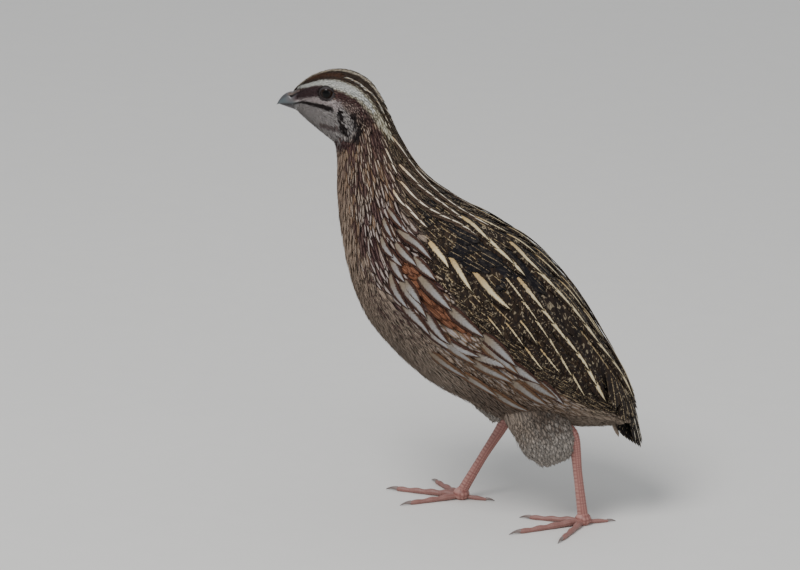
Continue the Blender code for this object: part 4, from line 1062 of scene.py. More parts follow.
def thigh_surface(side, inset=0.0):
    """The feathered thigh, from its lower end up to the hip."""
    leg = LEGS[side]
    path, size = np.array(leg["thigh"][::-1]), np.array(leg["thigh_size"][::-1]) - inset

    def surface(u, angle):
        u, angle = np.broadcast_arrays(np.asarray(u, float), np.asarray(angle, float))
        held = np.maximum(u, 0.06)
        step = (spline(path, held + 0.05) - spline(path, held - 0.05)) / 0.1
        p = spline(path, held) + step * (u - held)[..., None]
        ahead = unit(step)
        x = np.array([1.0, 0.0, 0.0])
        first = unit(x - ahead * (ahead @ x)[..., None])
        second = np.cross(first, ahead)
        wide = np.maximum(spline(size, held) * (1 + 0.5 * (u - held))[..., None], 0.4)
        b = np.radians(angle)[..., None]
        return p + first * wide[..., 0:1] * np.cos(b) + second * wide[..., 1:2] * np.sin(b)

    return surface


def eye_points(radius, segments=48, rings=32):
    """A ball round the Y axis with a slightly raised cornea, and its rings' angles from that axis."""
    b = np.pi * (np.arange(rings + 1)) / rings
    a = 2 * np.pi * np.arange(segments) / segments
    bulge = 1 + 0.05 * (1 - smooth(0.5, 0.95, b))
    ring = np.maximum(np.sin(b), 0.004)
    points = np.stack(
        [
            radius * (bulge * ring)[:, None] * np.cos(a),
            np.broadcast_to((radius * bulge * np.cos(b))[:, None], (rings + 1, segments)),
            radius * (bulge * ring)[:, None] * np.sin(a),
        ],
        -1,
    )
    return points, b


def thigh_place(side, u, turn):
    """A thigh's own place on the unwrap, beside the body's."""
    corner = 0.02 if side == "left" else 0.98
    return np.stack([corner + turn / 360 * 0.03, 0.02 + 0.03 * u], -1)


# Sizes and colours that a user may change


def colour_property(name, description, default):
    return bpy.props.FloatVectorProperty(
        name=name, description=description, subtype="COLOR", size=3, min=0.0, max=1.0, default=default
    )


class QuailStage(bpy.types.PropertyGroup):
    floor: colour_property("Floor", "Colour of the plain floor", (0.74, 0.72, 0.69))
    sky: bpy.props.FloatProperty(
        name="Sky", description="Strength of the even light from all sides", default=0.60, min=0.0
    )
    key: bpy.props.FloatProperty(
        name="Key light",
        description="Power of the large lamp over the bird",
        default=15.0,
        min=0.0,
        unit="POWER",
    )
    fill: bpy.props.FloatProperty(
        name="Fill light",
        description="Power of the lamp beside the camera",
        default=2.5,
        min=0.0,
        unit="POWER",
    )
    turn: bpy.props.FloatProperty(
        name="Camera turn", description="Angle round the bird", default=math.radians(190.0), subtype="ANGLE"
    )
    rise: bpy.props.FloatProperty(
        name="Camera height", description="Angle over the floor", default=math.radians(16.0), subtype="ANGLE"
    )
    view_width: bpy.props.FloatProperty(
        name="View width", description="Width of what the camera sees", default=0.2747, unit="LENGTH"
    )
    lens: bpy.props.FloatProperty(name="Lens", description="Focal length", default=300.0, unit="CAMERA")


class QuailPlumage(bpy.types.PropertyGroup):
    density: bpy.props.FloatProperty(
        name="Density", description="How closely feathers are set", default=1.0, min=0.3, max=1.5
    )
    bar: colour_property("Bars", "Colour of the fine cross bars", (0.30, 0.245, 0.165))
    border: colour_property("Streak borders", "Colour beside each pale streak", (0.009, 0.006, 0.006))
    streak_side: colour_property("Streak sides", "Tint of a pale streak beside its shaft", (0.68, 0.53, 0.36))
    seed: bpy.props.IntProperty(name="Seed", description="Start of the random draws", default=11)


class QuailHead(bpy.types.PropertyGroup):
    eye_radius: bpy.props.FloatProperty(
        name="Eye", description="Radius of the eyeball", default=0.0028, unit="LENGTH"
    )
    iris: colour_property("Iris", "Colour of the iris", (0.014, 0.006, 0.003))
    lid: colour_property("Lids", "Colour of the bare rim round the eye", (0.016, 0.011, 0.011))
    horn: colour_property("Bill", "Colour of the bill's sides", (0.062, 0.076, 0.082))
    bill_base: colour_property("Bill base", "Colour of the bill next to the face", (0.105, 0.088, 0.088))
    cover: colour_property("Nostril covers", "Colour of the soft nostril covers", (0.085, 0.056, 0.043))
    ridge: colour_property("Bill ridge", "Colour of the bill's ridge and edge", (0.030, 0.026, 0.028))


class QuailLegs(bpy.types.PropertyGroup):
    skin: colour_property("Leg", "Colour of the scaly skin", (0.38, 0.17, 0.145))
    pale: colour_property("Pale scutes", "Colour of the raised scutes", (0.47, 0.27, 0.23))
    # painted shade: the colour painted into the creases between the scutes
    crease_shade: colour_property("Creases", "Colour between the scutes", (0.19, 0.070, 0.058))
    claw: colour_property("Claw", "Colour of the claws", (0.16, 0.12, 0.11))
    scute: bpy.props.FloatProperty(
        name="Scute", description="Length of one scute", default=0.0013, unit="LENGTH"
    )


# Pieces


def look_direction(stage):
    """From the bird to the camera."""
    flat = math.cos(stage.rise)
    return Vector((flat * math.sin(stage.turn), -flat * math.cos(stage.turn), math.sin(stage.rise)))


def area_light(name, place, target, size, power):
    lamp = bpy.data.lights.new(name, "AREA")
    lamp.shape = "DISK"
    lamp.size = size
    lamp.energy = power
    obj = bpy.data.objects.new(name, lamp)
    obj.location = place
    obj.rotation_euler = (target - Vector(place)).to_track_quat("-Z", "Y").to_euler()
    bpy.context.scene.collection.objects.link(obj)


class StageOperator(bpy.types.Operator):
    """Floor, soft light and the camera at the photo's viewing angle"""

    bl_idname = "quail.stage"
    bl_label = "Stage"

    def execute(self, context):
        stage = context.scene.quail_stage
        mesh = bpy.data.meshes.new("floor")
        reach = 4.0
        corners = [(-reach, -reach, 0.0), (reach, -reach, 0.0), (reach, reach, 0.0), (-reach, reach, 0.0)]
        mesh.from_pydata(corners, [], [(0, 1, 2, 3)])
        floor = bpy.data.objects.new("floor", mesh)
        context.scene.collection.objects.link(floor)
        floor.data.materials.append(
            mottled_material("Floor", 0.8, 0.5, 0.01, 0.04, 0.0001, colour=tuple(stage.floor))
        )

        world = bpy.data.worlds.new("studio")
        world.use_nodes = True
        back = world.node_tree.nodes["Background"]
        back.inputs["Color"].default_value = (0.92, 0.96, 1.0, 1.0)
        back.inputs["Strength"].default_value = stage.sky
        context.scene.world = world

        middle = Vector((0.0, 0.0, 0.07))
        area_light("key", (0.35, 0.75, 1.25), middle, 0.7, stage.key)
        area_light("fill", (-0.9, 1.1, 0.5), middle, 0.9, stage.fill)

        camera = bpy.data.cameras.new("camera")
        camera.lens = stage.lens
        camera.sensor_width = 36.0
        camera.clip_start, camera.clip_end = 0.1, 20.0
        obj = bpy.data.objects.new("camera", camera)
        away = look_direction(stage)
        target = Vector(VIEW_CENTRE) * MM + Vector(SHIFT) * MM
        obj.location = target + away * (stage.view_width * stage.lens / camera.sensor_width)
        obj.rotation_euler = (-away).to_track_quat("-Z", "Y").to_euler()
        context.scene.collection.objects.link(obj)
        context.scene.camera = obj
        return {"FINISHED"}


class SkinOperator(bpy.types.Operator):
    """One skin for body, neck, head and thighs, under the feathers"""

    bl_idname = "quail.skin"
    bl_label = "Skin"

    def execute(self, context):
        rings, sides = 190, 96
        stations = np.linspace(0.35, 18.0, rings)
        angles = 360.0 * np.arange(sides) / sides
        u, a = np.meshgrid(stations, angles, indexing="ij")
        depth = coat_depth(u) + 0.75 * hollow(u, a)
        points = body(u, a) - normal_of(body, u, a) * depth[..., None]
        skin = tube("skin", points)
        paint(skin, markings(u.ravel(), a.ravel())[:, 0:4])
        set_uv(skin.data, "OFBake", unwrap(u, signed(a)).reshape(-1, 2))
        mend_seam(skin.data)
        for side, _ in SIDES:
            surface = thigh_surface(side, 1.3)
            u, a = np.meshgrid(np.linspace(0.45, 3.0, 36), 360.0 * np.arange(40) / 40, indexing="ij")
            thigh = tube("thigh", surface(u, a))
            paint(thigh, np.tile(look("thigh")[0:4], (u.size, 1)))
            set_uv(thigh.data, "OFBake", thigh_place(side, u, a - 180).reshape(-1, 2))
            weld(skin, thigh, look("thigh")[0:3])
        material = mottled_material("Skin", 0.75, 0.004, 0.0006, 0.35, 0.0002)
        finish_piece(skin, material, "body_feathers", "torso", "neck", "head", "thigh_left", "thigh_right")
        return {"FINISHED"}


def mend_seam(mesh):
    """Keeps faces that cross the belly's seam whole on the unwrap."""
    layer = mesh.uv_layers["OFBake"].data
    for face in mesh.polygons:
        across = [layer[i].uv[0] for i in face.loop_indices]
        if max(across) - min(across) > 0.5:
            for i in face.loop_indices:
                if layer[i].uv[0] < 0.5:
                    layer[i].uv[0] += 0.9


def weld(base, other, colour):
    """Joins a closed piece to another as one surface, with this colour along the new seam."""
    change = base.modifiers.new("Weld", "BOOLEAN")
    change.operation = "UNION"
    change.object = other
    change.solver = "EXACT"
    bpy.context.view_layer.update()
    graph = bpy.context.evaluated_depsgraph_get()
    mesh = bpy.data.meshes.new_from_object(base.evaluated_get(graph))
    base.modifiers.clear()
    base.data = mesh
    bpy.data.objects.remove(other)
    layer = mesh.attributes["ground"].data
    values = np.zeros(len(layer) * 4, dtype=np.float32)
    layer.foreach_get("color", values)
    values = values.reshape(-1, 4)
    values[values[:, 2] > UNPAINTED] = (*colour, 1.0)
    layer.foreach_set("color", values.ravel())


class EyesOperator(bpy.types.Operator):
    """Both eyes, with iris, pupil and a raised cornea"""

    bl_idname = "quail.eyes"
    bl_label = "Eyes"

    def execute(self, context):
        head = context.scene.quail_head
        radius = head.eye_radius / MM
        points, b = eye_points(radius)
        off = np.sin(b) * (b < np.pi / 2) + (b >= np.pi / 2)
        shade = 0.35 + 0.9 * smooth(*IRIS_GLOW, off)
        rim = smooth(*IRIS_RIM, off)[:, None]
        colours = np.array(head.iris) * shade[:, None] * (1 - rim) + 0.006 * rim
        colours *= smooth(*PUPIL_EDGE, off)[:, None]
        for name, side in SIDES:
            middle = EYE * np.array([1, side, 1])
            ball = points * np.array([1, side, 1]) + middle
            eye = tube("eyeball_" + name, ball)
            paint(eye, np.repeat(colours, points.shape[1], 0))
            material = mottled_material("Eye", 0.14, 0.0012, 0.0002, 0.3, 0.00001)
            material.node_tree.nodes["Principled BSDF"].inputs["Specular IOR Level"].default_value = 0.18
            finish_piece(eye, material, "eye", "eye_" + name)
        return {"FINISHED"}


class LidsOperator(bpy.types.Operator):
    """Upper and lower lid round each eye, as fine wrinkled rims with painted shade in their wrinkles and
    where they turn in against the eye
    """

    bl_idname = "quail.lids"
    bl_label = "Lids"

    def execute(self, context):
        head = context.scene.quail_head
        a = 2 * np.pi * np.arange(LID_POINTS) / LID_POINTS
        b = 2 * np.pi * np.arange(LID_ROUND) / LID_ROUND
        wrinkle = np.sin(a * LID_WRINKLES)
        ball = head.eye_radius / MM * 1.03
        out = np.stack([np.cos(a), np.zeros(LID_POINTS), np.sin(a)], -1)
        front = np.array([0.0, 1.0, 0.0])
        opening = 1 / np.hypot(np.cos(a) / LID_OPENING[0], np.sin(a) / LID_OPENING[1])
        lean = np.sqrt(1 - (opening / ball) ** 2)[:, None]
        normal = out * (opening / ball)[:, None] + front * lean
        along = out * lean - front * (opening / ball)[:, None]
        broad = 0.34 + 0.22 * np.abs(np.sin(a)) + 0.02 * wrinkle
        points = (normal * ball)[:, None] + along[:, None] * (broad[:, None] * np.cos(b))[..., None]
        points = points + normal[:, None] * (0.17 * np.sin(b))[None, :, None]
        # painted shade: darker where the rim turns in against the eyeball and in its wrinkles' troughs,
        # lighter on its outer crest
        shade = 0.7 + 0.6 * smooth(-0.2, 1.0, np.sin(b)[None, :] + 0.2 * wrinkle[:, None])
        i, j = np.meshgrid(np.arange(LID_POINTS), np.arange(LID_ROUND), indexing="ij")
        k, n = (j + 1) % LID_ROUND, (i + 1) % LID_POINTS
        i, n = i * LID_ROUND, n * LID_ROUND
        quads = np.stack([i + j, i + k, n + k, n + j], -1).reshape(-1, 4)
        for name, side in SIDES:
            place = (points + EYE) * np.array([1, side, 1])
            lids = new_object("lids_" + name, place.reshape(-1, 3), quads[:, ::side])
            paint(lids, shade[..., None] * np.array(head.lid))
            material = mottled_material("Lid", 0.7, 0.0008, 0.0002, 0.4, 0.0001)
            finish_piece(lids, material, "body_feathers")
        return {"FINISHED"}


def horn_start(side):
    """Station where the bare horn of the bill starts, for an angle from the back."""
    above = BARE_SIDE + (BARE_RIDGE - BARE_SIDE) * (1 - smooth(10.0, 40.0, side))
    lore = 0.35 * np.exp(-(((side - 67.0) / 10.0) ** 2))
    return above + lore + (BARE_CHIN - BARE_SIDE) * smooth(104.0, 140.0, side)


def bill_root(first, upper):
    """Rings of bare horn and their stations, from under the face's feathers to the bill's first ring."""
    turn = np.linspace(-1.0, 1.0, BILL_ARC)
    angle = -turn * (MOUTH_ANGLE - 1.0) if upper else 180.0 + turn * (179.0 - MOUTH_ANGLE)
    start = horn_start(np.abs(signed(angle)))
    s = np.linspace(0.0, 1.0, BILL_ROOT_STEPS + 1)[:-1, None]
    u = start + (BILL_STATION - start) * s
    height = -0.35 + 0.45 * smooth(0.0, 0.3, s)
    p = body(u, angle) + normal_of(body, u, angle) * np.broadcast_to(height, u.shape)[..., None]
    blend = smooth(0.4, 1.0, s)[..., None]
    p = p * (1 - blend) + first[None, :BILL_ARC] * blend
    flat = np.arange(1, BILL_FLAT + 1)[None, :, None] / (BILL_FLAT + 1)
    return np.concatenate([p, p[:, -1:] + (p[:, :1] - p[:, -1:]) * flat], 1), u, np.abs(signed(angle))


def bill_half(upper):
    """Rings of one half of the bill: flat where the halves close, and arched outside."""
    back_x, back_z, belly_x, belly_z, half, _ = STATIONS[-1]
    above, below = np.array([back_x, 0, back_z]), np.array([belly_x, 0, belly_z])
    root = below + (above - below) * MOUTH_SHARE
    edge_end, ridge_end, bow, closing, (ridge_hook, edge_hook), sink = BILL_HALVES[upper]
    edge_tip, tip = (np.array([BILL_TIP[0] + x, 0, BILL_TIP[1] + z]) for x, z in (edge_end, ridge_end))
    crest = np.array([BILL_CREST[0], 0, BILL_CREST[1]]) if upper else below
    b = np.pi * np.arange(BILL_ARC) / (BILL_ARC - 1)
    rise = np.sin(b) ** 0.85
    c = 1 - np.arange(1, BILL_FLAT + 1) * 2 / (BILL_FLAT + 1)
    points = []
    for t in np.arange(BILL_STEPS + 1) / BILL_STEPS:
        swell = math.sin(math.pi * t)
        edge = root + (edge_tip - root) * t + np.array([0, 0, 0.12 * swell])
        ridge = crest + (tip - crest) * t + np.array([0.25, 0, bow]) * max(swell, 0.0) ** 0.8
        ridge[2] -= ridge_hook * t**6
        edge[2] -= edge_hook * t**8
        width = (half - 0.15) * (1 - t**1.7) + 0.24
        outer = edge + (ridge - edge) * rise[:, None] * 0.985
        outer[:, 1] = width * np.cos(b)
        outer[:, 2] += closing - sink * (1 - t) * (1 - rise)
        level = np.full(BILL_FLAT, edge[2] + closing)
        inner = np.stack([np.full(BILL_FLAT, edge[0]), -width * c * 0.98, level], -1)
        points.append(np.concatenate([outer, inner]))
    return np.array(points), rise


class BillOperator(bpy.types.Operator):
    """Upper and lower bill, with the hook, nostrils and their covers"""

    bl_idname = "quail.bill"
    bl_label = "Bill"

    def execute(self, context):
        head = context.scene.quail_head
        for upper in (True, False):
            rings, rise = bill_half(upper)
            root_rings, u, angle = bill_root(rings[0], upper)
            points = np.concatenate([root_rings, rings])
            shape = points.shape[:2]
            t = np.concatenate([np.zeros(BILL_ROOT_STEPS), np.linspace(0, 1, BILL_STEPS + 1)])[:, None]
            rise = np.broadcast_to(np.append(rise, np.zeros(BILL_FLAT)), shape)
            free = np.repeat(BILL_STATION + FREE_STATIONS * t[BILL_ROOT_STEPS:], BILL_ARC, 1)
            inside = np.full((shape[0], BILL_FLAT), BILL_STATION + 1.0)
            u = np.concatenate([np.concatenate([u, free]), inside], 1)
            angle = np.broadcast_to(np.append(angle, np.full(BILL_FLAT, 180.0)), shape)
            slit, cover = self.nostril(u, angle) if upper else np.zeros((2, *shape))
            face = markings(u.ravel(), angle.ravel())
            # the lower bill's root is painted darker than the face: painted shade under the upper bill
            under = face[:, 0:3].reshape(*shape, 3) * (1.0 if upper else 0.45)
            bare = smooth(0.2, 0.8, np.arange(shape[0])[:, None] / BILL_ROOT_STEPS)[..., None]
            out = COVER_RISE * cover * smooth(0.3, 1.2, np.abs(points[..., 1])) - SLIT_DEPTH * slit
            points[..., 1] += np.sign(points[..., 1]) * out
            horn = self.colours(head, upper, t, rise, slit, cover)
            name = "bill_upper" if upper else "bill_lower"
            bill = tube(name + "_horn", points)
            paint(bill, under + (horn - under) * np.maximum(bare, slit[..., None]))
            material = mottled_material("Bill", 0.35, 0.0011, 0.00022, 0.35, 0.00006, coat=0.15)
            finish_piece(bill, material, "bill", name)
        return {"FINISHED"}

    def nostril(self, u, angle):
        """How much of each place is the nostril's slit, and how much the soft cover above it."""
        line = NOSTRIL_ANGLE + NOSTRIL_LEAN * (BILL_STATION - u)
        slit = np.exp(-(((angle - line) / 6.5) ** 2)) * between(u, *NOSTRIL_STATIONS, 0.1)
        cover = between(angle, line - 34.0, line - 4.0, 5.0) * between(u, *COVER_STATIONS, 0.3)
        return slit, cover

    def colours(self, head, upper, t, rise, slit, cover):
        """Horn with a dark ridge and brown over the nostrils, with painted shade: a dark lower bill under the
        upper one, a dark mouth where the halves meet and a dark nostril slit.
        """
        ridge = np.array(head.ridge)
        if upper:
            dark = (smooth(0.55, 0.95, rise) * 0.85 * smooth(0.1, 0.4, t))[..., None]
            base = (smooth(0.55, 0.05, t) * smooth(0.05, 0.4, rise))[..., None] * 0.7
            colour = np.array(head.horn) * (1 + 0.25 * (1 - t) * smooth(0.1, 0.5, rise))[..., None]
            colour = colour * (1 - base) + np.array(head.bill_base) * base
            colour = colour * (1 - dark) + ridge * dark
            colour = colour * (1 - cover[..., None]) + np.array(head.cover) * cover[..., None]
        else:
            # the lower bill is painted dark: painted shade under the upper bill
            colour = ridge * (1.0 + 0.5 * smooth(0.1, 0.5, rise))[..., None]
        # painted shade along the gap where the two halves meet
        mouth = (1 - smooth(0.04, 0.24, rise))[..., None] * 0.9
        colour = colour * (1 - mouth) + ridge * 0.4 * mouth
        # painted shade in the nostril's slit
        return colour * (1 - 0.95 * smooth(0.15, 0.5, slit))[..., None]


def saw(far, pitch):
    """Plates one after another, each highest in its middle."""
    return 1 - np.abs(((far / pitch) % 1.0) * 2 - 1) ** 3


def scutes(pitch, height):
    """Overlapping plates on the front of a leg and small round ones behind it."""

    def shape(far, b):
        front = smooth(-0.2, 0.5, np.cos(b))
        small = np.abs(np.sin(np.pi * far / (pitch * 0.62))) * np.abs(np.sin(b * 6))
        return height * (front * (saw(far, pitch) - 0.6) + (1 - front) * (small - 0.5) * 0.8)

    return shape


def toe_plates(pitch, height):
    """Plates on the top of a toe and small pads under it."""

    def shape(far, b):
        top = smooth(0.1, 0.7, np.sin(b))
        pads = 0.5 * np.abs(np.sin(far * 7) * np.sin(b * 5))
        return height * (top * (saw(far, pitch * 0.72) - 0.6) + (1 - top) * pads)

    return shape


def each_toe(side, sign):
    """Name, direction, direction across, length and radius of the toes of one foot."""
    for name, spread, length, radius in [*TOES, HIND_TOE]:
        angle = math.radians(LEGS[side]["heading"] + spread * sign)
        ahead = np.array([math.cos(angle), math.sin(angle), 0.0])
        yield name, ahead, np.cross([0, 0, 1.0], ahead) * -1, length, radius


def leg_colours(colours, extra, height, shade=1.0):
    """Paler on the raised plates, and darker in the creases between them as painted shade; a shade below 1
    darkens it all as painted shade.
    """
    # painted shade: the lower the relief, the more of the darker crease colour
    lift = smooth(-0.55, 0.35, extra / height)[..., None]
    base = np.array(colours.crease_shade) * (1 - lift) + np.array(colours.skin) * lift
    pale = smooth(0.1, 0.4, extra / height)[..., None] * 0.45
    return (base * (1 - pale) + np.array(colours.pale) * pale) * shade


class LegsOperator(bpy.types.Operator):
    """Scaly shanks and toes with scutes and pads"""

    bl_idname = "quail.legs"
    bl_label = "Legs and toes"

    def execute(self, context):
        colours = context.scene.quail_legs
        pitch = colours.scute / MM
        material = mottled_material("Scaly skin", 0.5, 0.0035, 0.0004, 0.22, 0.00008)
        for side, sign in SIDES:
            leg = LEGS[side]
            hub = np.array(leg["hub"])
            path = along_path([*leg["shank"], (hub[0], hub[1], hub[2] + 0.4)], SHANK_POINTS)
            radius = along_path([[r] for r in SHANK_R], SHANK_POINTS)
            sizes = np.concatenate([radius * 1.08, radius * 0.92], 1)
            rings, extra = ring_tube(path, sizes, SHANK_SIDES, (1, 0, 0), scutes(pitch, SCUTE_RISE))
            shank = tube(f"shank_{side}_scutes", rings)
            paint(shank, leg_colours(colours, extra, SCUTE_RISE))
            ankle = knuckle(hub)
            paint(ankle, np.tile(np.array(colours.skin) * 0.8, (len(ankle.data.vertices), 1)))
            weld(shank, ankle, colours.skin)
            finish_piece(shank, material, "scaly_skin", "shank_" + side)
            for toe in each_toe(side, sign):
                self.toe(side, hub, toe, colours, pitch, material)
        return {"FINISHED"}

    def toe(self, side, hub, toe, colours, pitch, material):
        name, ahead, across, length, radius = toe
        t = np.linspace(0.0, 1.0, TOE_POINTS)
        reach = TOE_START + (HUB_SIZE[0] - TOE_START + length) * t
        joint = np.cos(2 * np.pi * (reach - HUB_SIZE[0]) / PHALANX)
        r = radius * (1 - 0.32 * t) * (1 - 0.10 * joint)
        round_off = np.sqrt(np.maximum(1 - ((t - TOE_END) / 0.04) ** 2, 0.05))
        r = r * np.where(t > TOE_END, round_off, 1.0)
        path = np.array([hub[0], hub[1], 0.0]) + ahead * reach[:, None]
        path[:, 2] = 0.85 * r + 0.5 * (1 - t) ** 2
        rings, extra = ring_tube(path, np.stack([r, r], 1), TOE_SIDES, across, toe_plates(pitch, PLATE_RISE))
        rings[..., 2] = np.maximum(rings[..., 2], 0.0)
        obj = tube(f"toe_{side}_{name}_scutes", rings)
        # the toes are painted darker than the shanks: painted shade, as they face up to the light
        paint(obj, leg_colours(colours, extra, PLATE_RISE, 0.72))
        finish_piece(obj, material, "scaly_skin", f"toe_{side}_{name}")


def knuckle(hub):
    """The pad where the toes meet, flat underneath."""
    b = np.pi * np.linspace(0.02, 0.98, 24)[:, None]
    a = 2 * np.pi * np.arange(36)[None, :] / 36
    x, y, z = (s * 0.96 for s in HUB_SIZE)
    wave = 1 + 0.03 * np.sin(a * 9) * np.sin(b * 11)
    z = z * np.cos(b) * np.ones_like(a)
    points = hub + np.stack([x * np.sin(b) * np.cos(a) * wave, y * np.sin(b) * np.sin(a) * wave, z], -1)
    points[..., 2] = np.maximum(points[..., 2], 0.0)
    return tube("knuckle", points)


class ClawsOperator(bpy.types.Operator):
    """Eight curved claws"""

    bl_idname = "quail.claws"
    bl_label = "Claws"

    def execute(self, context):
        colours = context.scene.quail_legs
        material = mottled_material("Claw", 0.35, 0.0012, 0.0002, 0.3, 0.00005, coat=0.2)
        t = np.linspace(0.0, 1.0, CLAW_POINTS)
        for side, sign in SIDES:
            hub = LEGS[side]["hub"]
            for name, ahead, across, length, radius in each_toe(side, sign):
                thick = radius * 0.68
                size = CLAW_LENGTH * thick / CLAW_R * 0.95
                r = thick * 0.82 * (1 - t) ** 0.8 + 0.07
                start = np.array([hub[0], hub[1], 0.0]) + ahead * (HUB_SIZE[0] + length - 0.2)
                path = start + ahead * (size * t)[:, None]
                arch = thick * 1.15 + 0.12 * np.sin(np.pi * t) - thick * 0.95 * t**2
                path[:, 2] = np.maximum(arch, r + 0.05)
                rings, _ = ring_tube(path, np.stack([r * 0.8, r], 1), CLAW_SIDES, across)
                claw = tube(f"claw_{side}_{name}_horn", rings)
                paint(claw, np.repeat(np.array(colours.claw) * (1.5 - 0.9 * t)[:, None], CLAW_SIDES, 0))
                finish_piece(claw, material, "claw", f"claw_{side}_{name}")
        return {"FINISHED"}


def body_coat(name, seed, keep, extra=None):
    """One tract of the body's coat as one piece."""
    stations, angles, lengths, widths, steps, grid, point, fluff = TRACTS[name]
    draw = np.random.default_rng(seed)
    close = bpy.context.scene.quail_plumage.density

    def size(u):
        return np.interp(u, stations, lengths), np.interp(u, stations, widths)

    found = []
    for side in (1, -1) if angles != (0, 180) else (0,):
        span = (-180.0, 180.0) if side == 0 else tuple(sorted(a * side for a in angles))
        found.append(roots(body, stations, span, size, draw, steps[0] / close, steps[1] / close))
    u, a = (np.concatenate([f[k] for f in found]) for k in (0, 1))
    held = keep(u, np.abs(signed(a)))
    u, a = u[held], a[held]
    length, width = size(u)
    coat = base_coat(u, a, length, width, coat_depth(u), draw, grid[0])
    coat["point"] = np.full(len(u), point)
    coat["crown"] *= 1 - 0.5 * fluff
    coat["height"] += fluff * draw.normal(0, 0.12, len(u))[:, None] * np.linspace(0, 1, grid[0])
    coat["look"] = markings(*seen_place(coat), draw)
    vary(coat["look"], draw, 0.11 - 0.05 * fluff)
    if extra:
        extra(coat, np.abs(signed(a)))
    finish_piece(grow(name + "_feathers", body, coat, *grid), plumage(), "body_feathers")


def seen_place(coat):
    """Station and angle of the part of each feather that shows."""
    row = int(coat["u"].shape[1] * 0.7)
    return coat["u"][:, row], coat["a"][:, row]


def clear_of_wing(u, a, room=7.0):
    """Leaves out what the folded wing hides."""
    top, low = wing_edge(u)
    return ~((u > 1.2) & (u < 7.2) & (a > top + room) & (a < low - room - 4))


class HeadCoatOperator(bpy.types.Operator):
    """The smallest feathers, on face, crown and throat"""

    bl_idname = "quail.head_coat"
    bl_label = "Head feathers"

    def execute(self, context):
        seed = context.scene.quail_plumage.seed
        edge = np.random.default_rng(seed)

        def open_face(u, a):
            return (near_eye(u, a) > 1.0) & (u < horn_start(a) + edge.uniform(0.0, 0.45, len(u)))

        body_coat("face", seed + 1, open_face)
        body_coat("crown", seed + 2, lambda u, a: near_eye(u, a) > 1.0)
        return {"FINISHED"}


class BodyCoatOperator(bpy.types.Operator):
    """Body feathers of neck, breast, belly, flanks and back"""

    bl_idname = "quail.body_coat"
    bl_label = "Body feathers"

    def execute(self, context):
        seed = context.scene.quail_plumage.seed
        mix = np.random.default_rng(seed)

        def over_wing(coat, a):
            edge = between(a, 74, 104, 6) * between(coat["u"][:, 0], 1.0, 7.2, 0.8)
            coat["height"] += edge[:, None] * np.linspace(0, 0.5, coat["height"].shape[1])

        tracts = (
            ("neck", lambda u, a: u > 7.5 + mix.uniform(0.0, 1.0, len(u)), None),
            ("breast", clear_of_wing, over_wing),
            ("throat_down", lambda u, a: u > 0, None),
            ("belly", lambda u, a: u > 0, None),
            ("flank", clear_of_wing, over_wing),
            ("back", clear_of_wing, None),
        )
        for step, (name, keep, extra) in enumerate(tracts, 3):
            body_coat(name, seed + step, keep, extra)
        return {"FINISHED"}


class StreakedOperator(bpy.types.Operator):
    """Lanceolate feathers of neck, back and flanks with their pale streaks"""

    bl_idname = "quail.streaked"
    bl_label = "Streaked feathers"

    def execute(self, context):
        draw = np.random.default_rng(context.scene.quail_plumage.seed + 7)
        for name, side in SIDES:
            parts = [chain(*row, draw, QUILL_GRID[0], side) for row in (*FLANK_LINES, *STREAKED)]
            obj = grow("streaked_feathers_" + name, body, join(*parts), *QUILL_GRID)
            finish_piece(obj, plumage(quills=True), "quill_feathers")
        return {"FINISHED"}


def wing_coat(side, draw):
    """All tiers of one folded wing."""
    parts = []
    t = np.linspace(0.0, 1.0, QUILL_GRID[0])
    shape = {"point": 0.6, "sharp": 0.5, "thick": 0.22, "crown": 0.10, "tilt": 0.06, "fray": 0.06}
    for count, root_a, root_b, tip_a, tip_b, width, heights, kind in WING_TIERS:
        s = np.linspace(0.0, 1.0, count)[:, None]
        root = np.array(root_a) + (np.array(root_b) - root_a) * s
        tip = np.array(tip_a) + (np.array(tip_b) - tip_a) * s
        tip = tip + draw.normal(0, 1, (count, 2)) * np.array([0.05, 0.8])
        u = root[:, 0:1] + (tip - root)[:, 0:1] * t
        a = root[:, 1:2] + (tip - root)[:, 1:2] * t
        length = np.linalg.norm(body(u[:, -1], a[:, -1]) - body(u[:, 0], a[:, 0]), axis=1)
        drop = 0.06 * np.arange(count)[:, None]
        height = heights[0] + (heights[1] - heights[0]) * t[None, :] ** 0.8 - drop * (1 - 0.3 * t)
        width = width * draw.uniform(0.94, 1.06, count)
        looks = vary(np.repeat(look(kind)[None, :], count, 0), draw, 0.10)
        parts.append(coat_of(draw, u, a * side, height, length, width, looks, **shape))
    return join(*parts)


class WingsOperator(bpy.types.Operator):
    """Both folded wings: quills, coverts and scapulars in tiers"""

    bl_idname = "quail.wings"
    bl_label = "Wings"

    def execute(self, context):
        for name, side in SIDES:
            draw = np.random.default_rng(context.scene.quail_plumage.seed + 8)
            obj = grow("wing_feathers_" + name, body, wing_coat(side, draw), *QUILL_GRID)
            finish_piece(obj, plumage(quills=True), "quill_feathers", "wing_" + name)
        return {"FINISHED"}


def tail_surface(u, angle):
    """The tail's plane: minus the distance from its root, and the distance to the left."""
    u, angle = np.broadcast_arrays(np.asarray(u, float), np.asarray(angle, float))
    along = unit(TAIL_TIP - TAIL_BASE)
    up = np.cross(along, [0.0, -1.0, 0.0])
    p = TAIL_BASE - along * u[..., None] - up * 0.015 * (angle**2)[..., None]
    return p + np.array([0.0, 1.0, 0.0]) * angle[..., None]


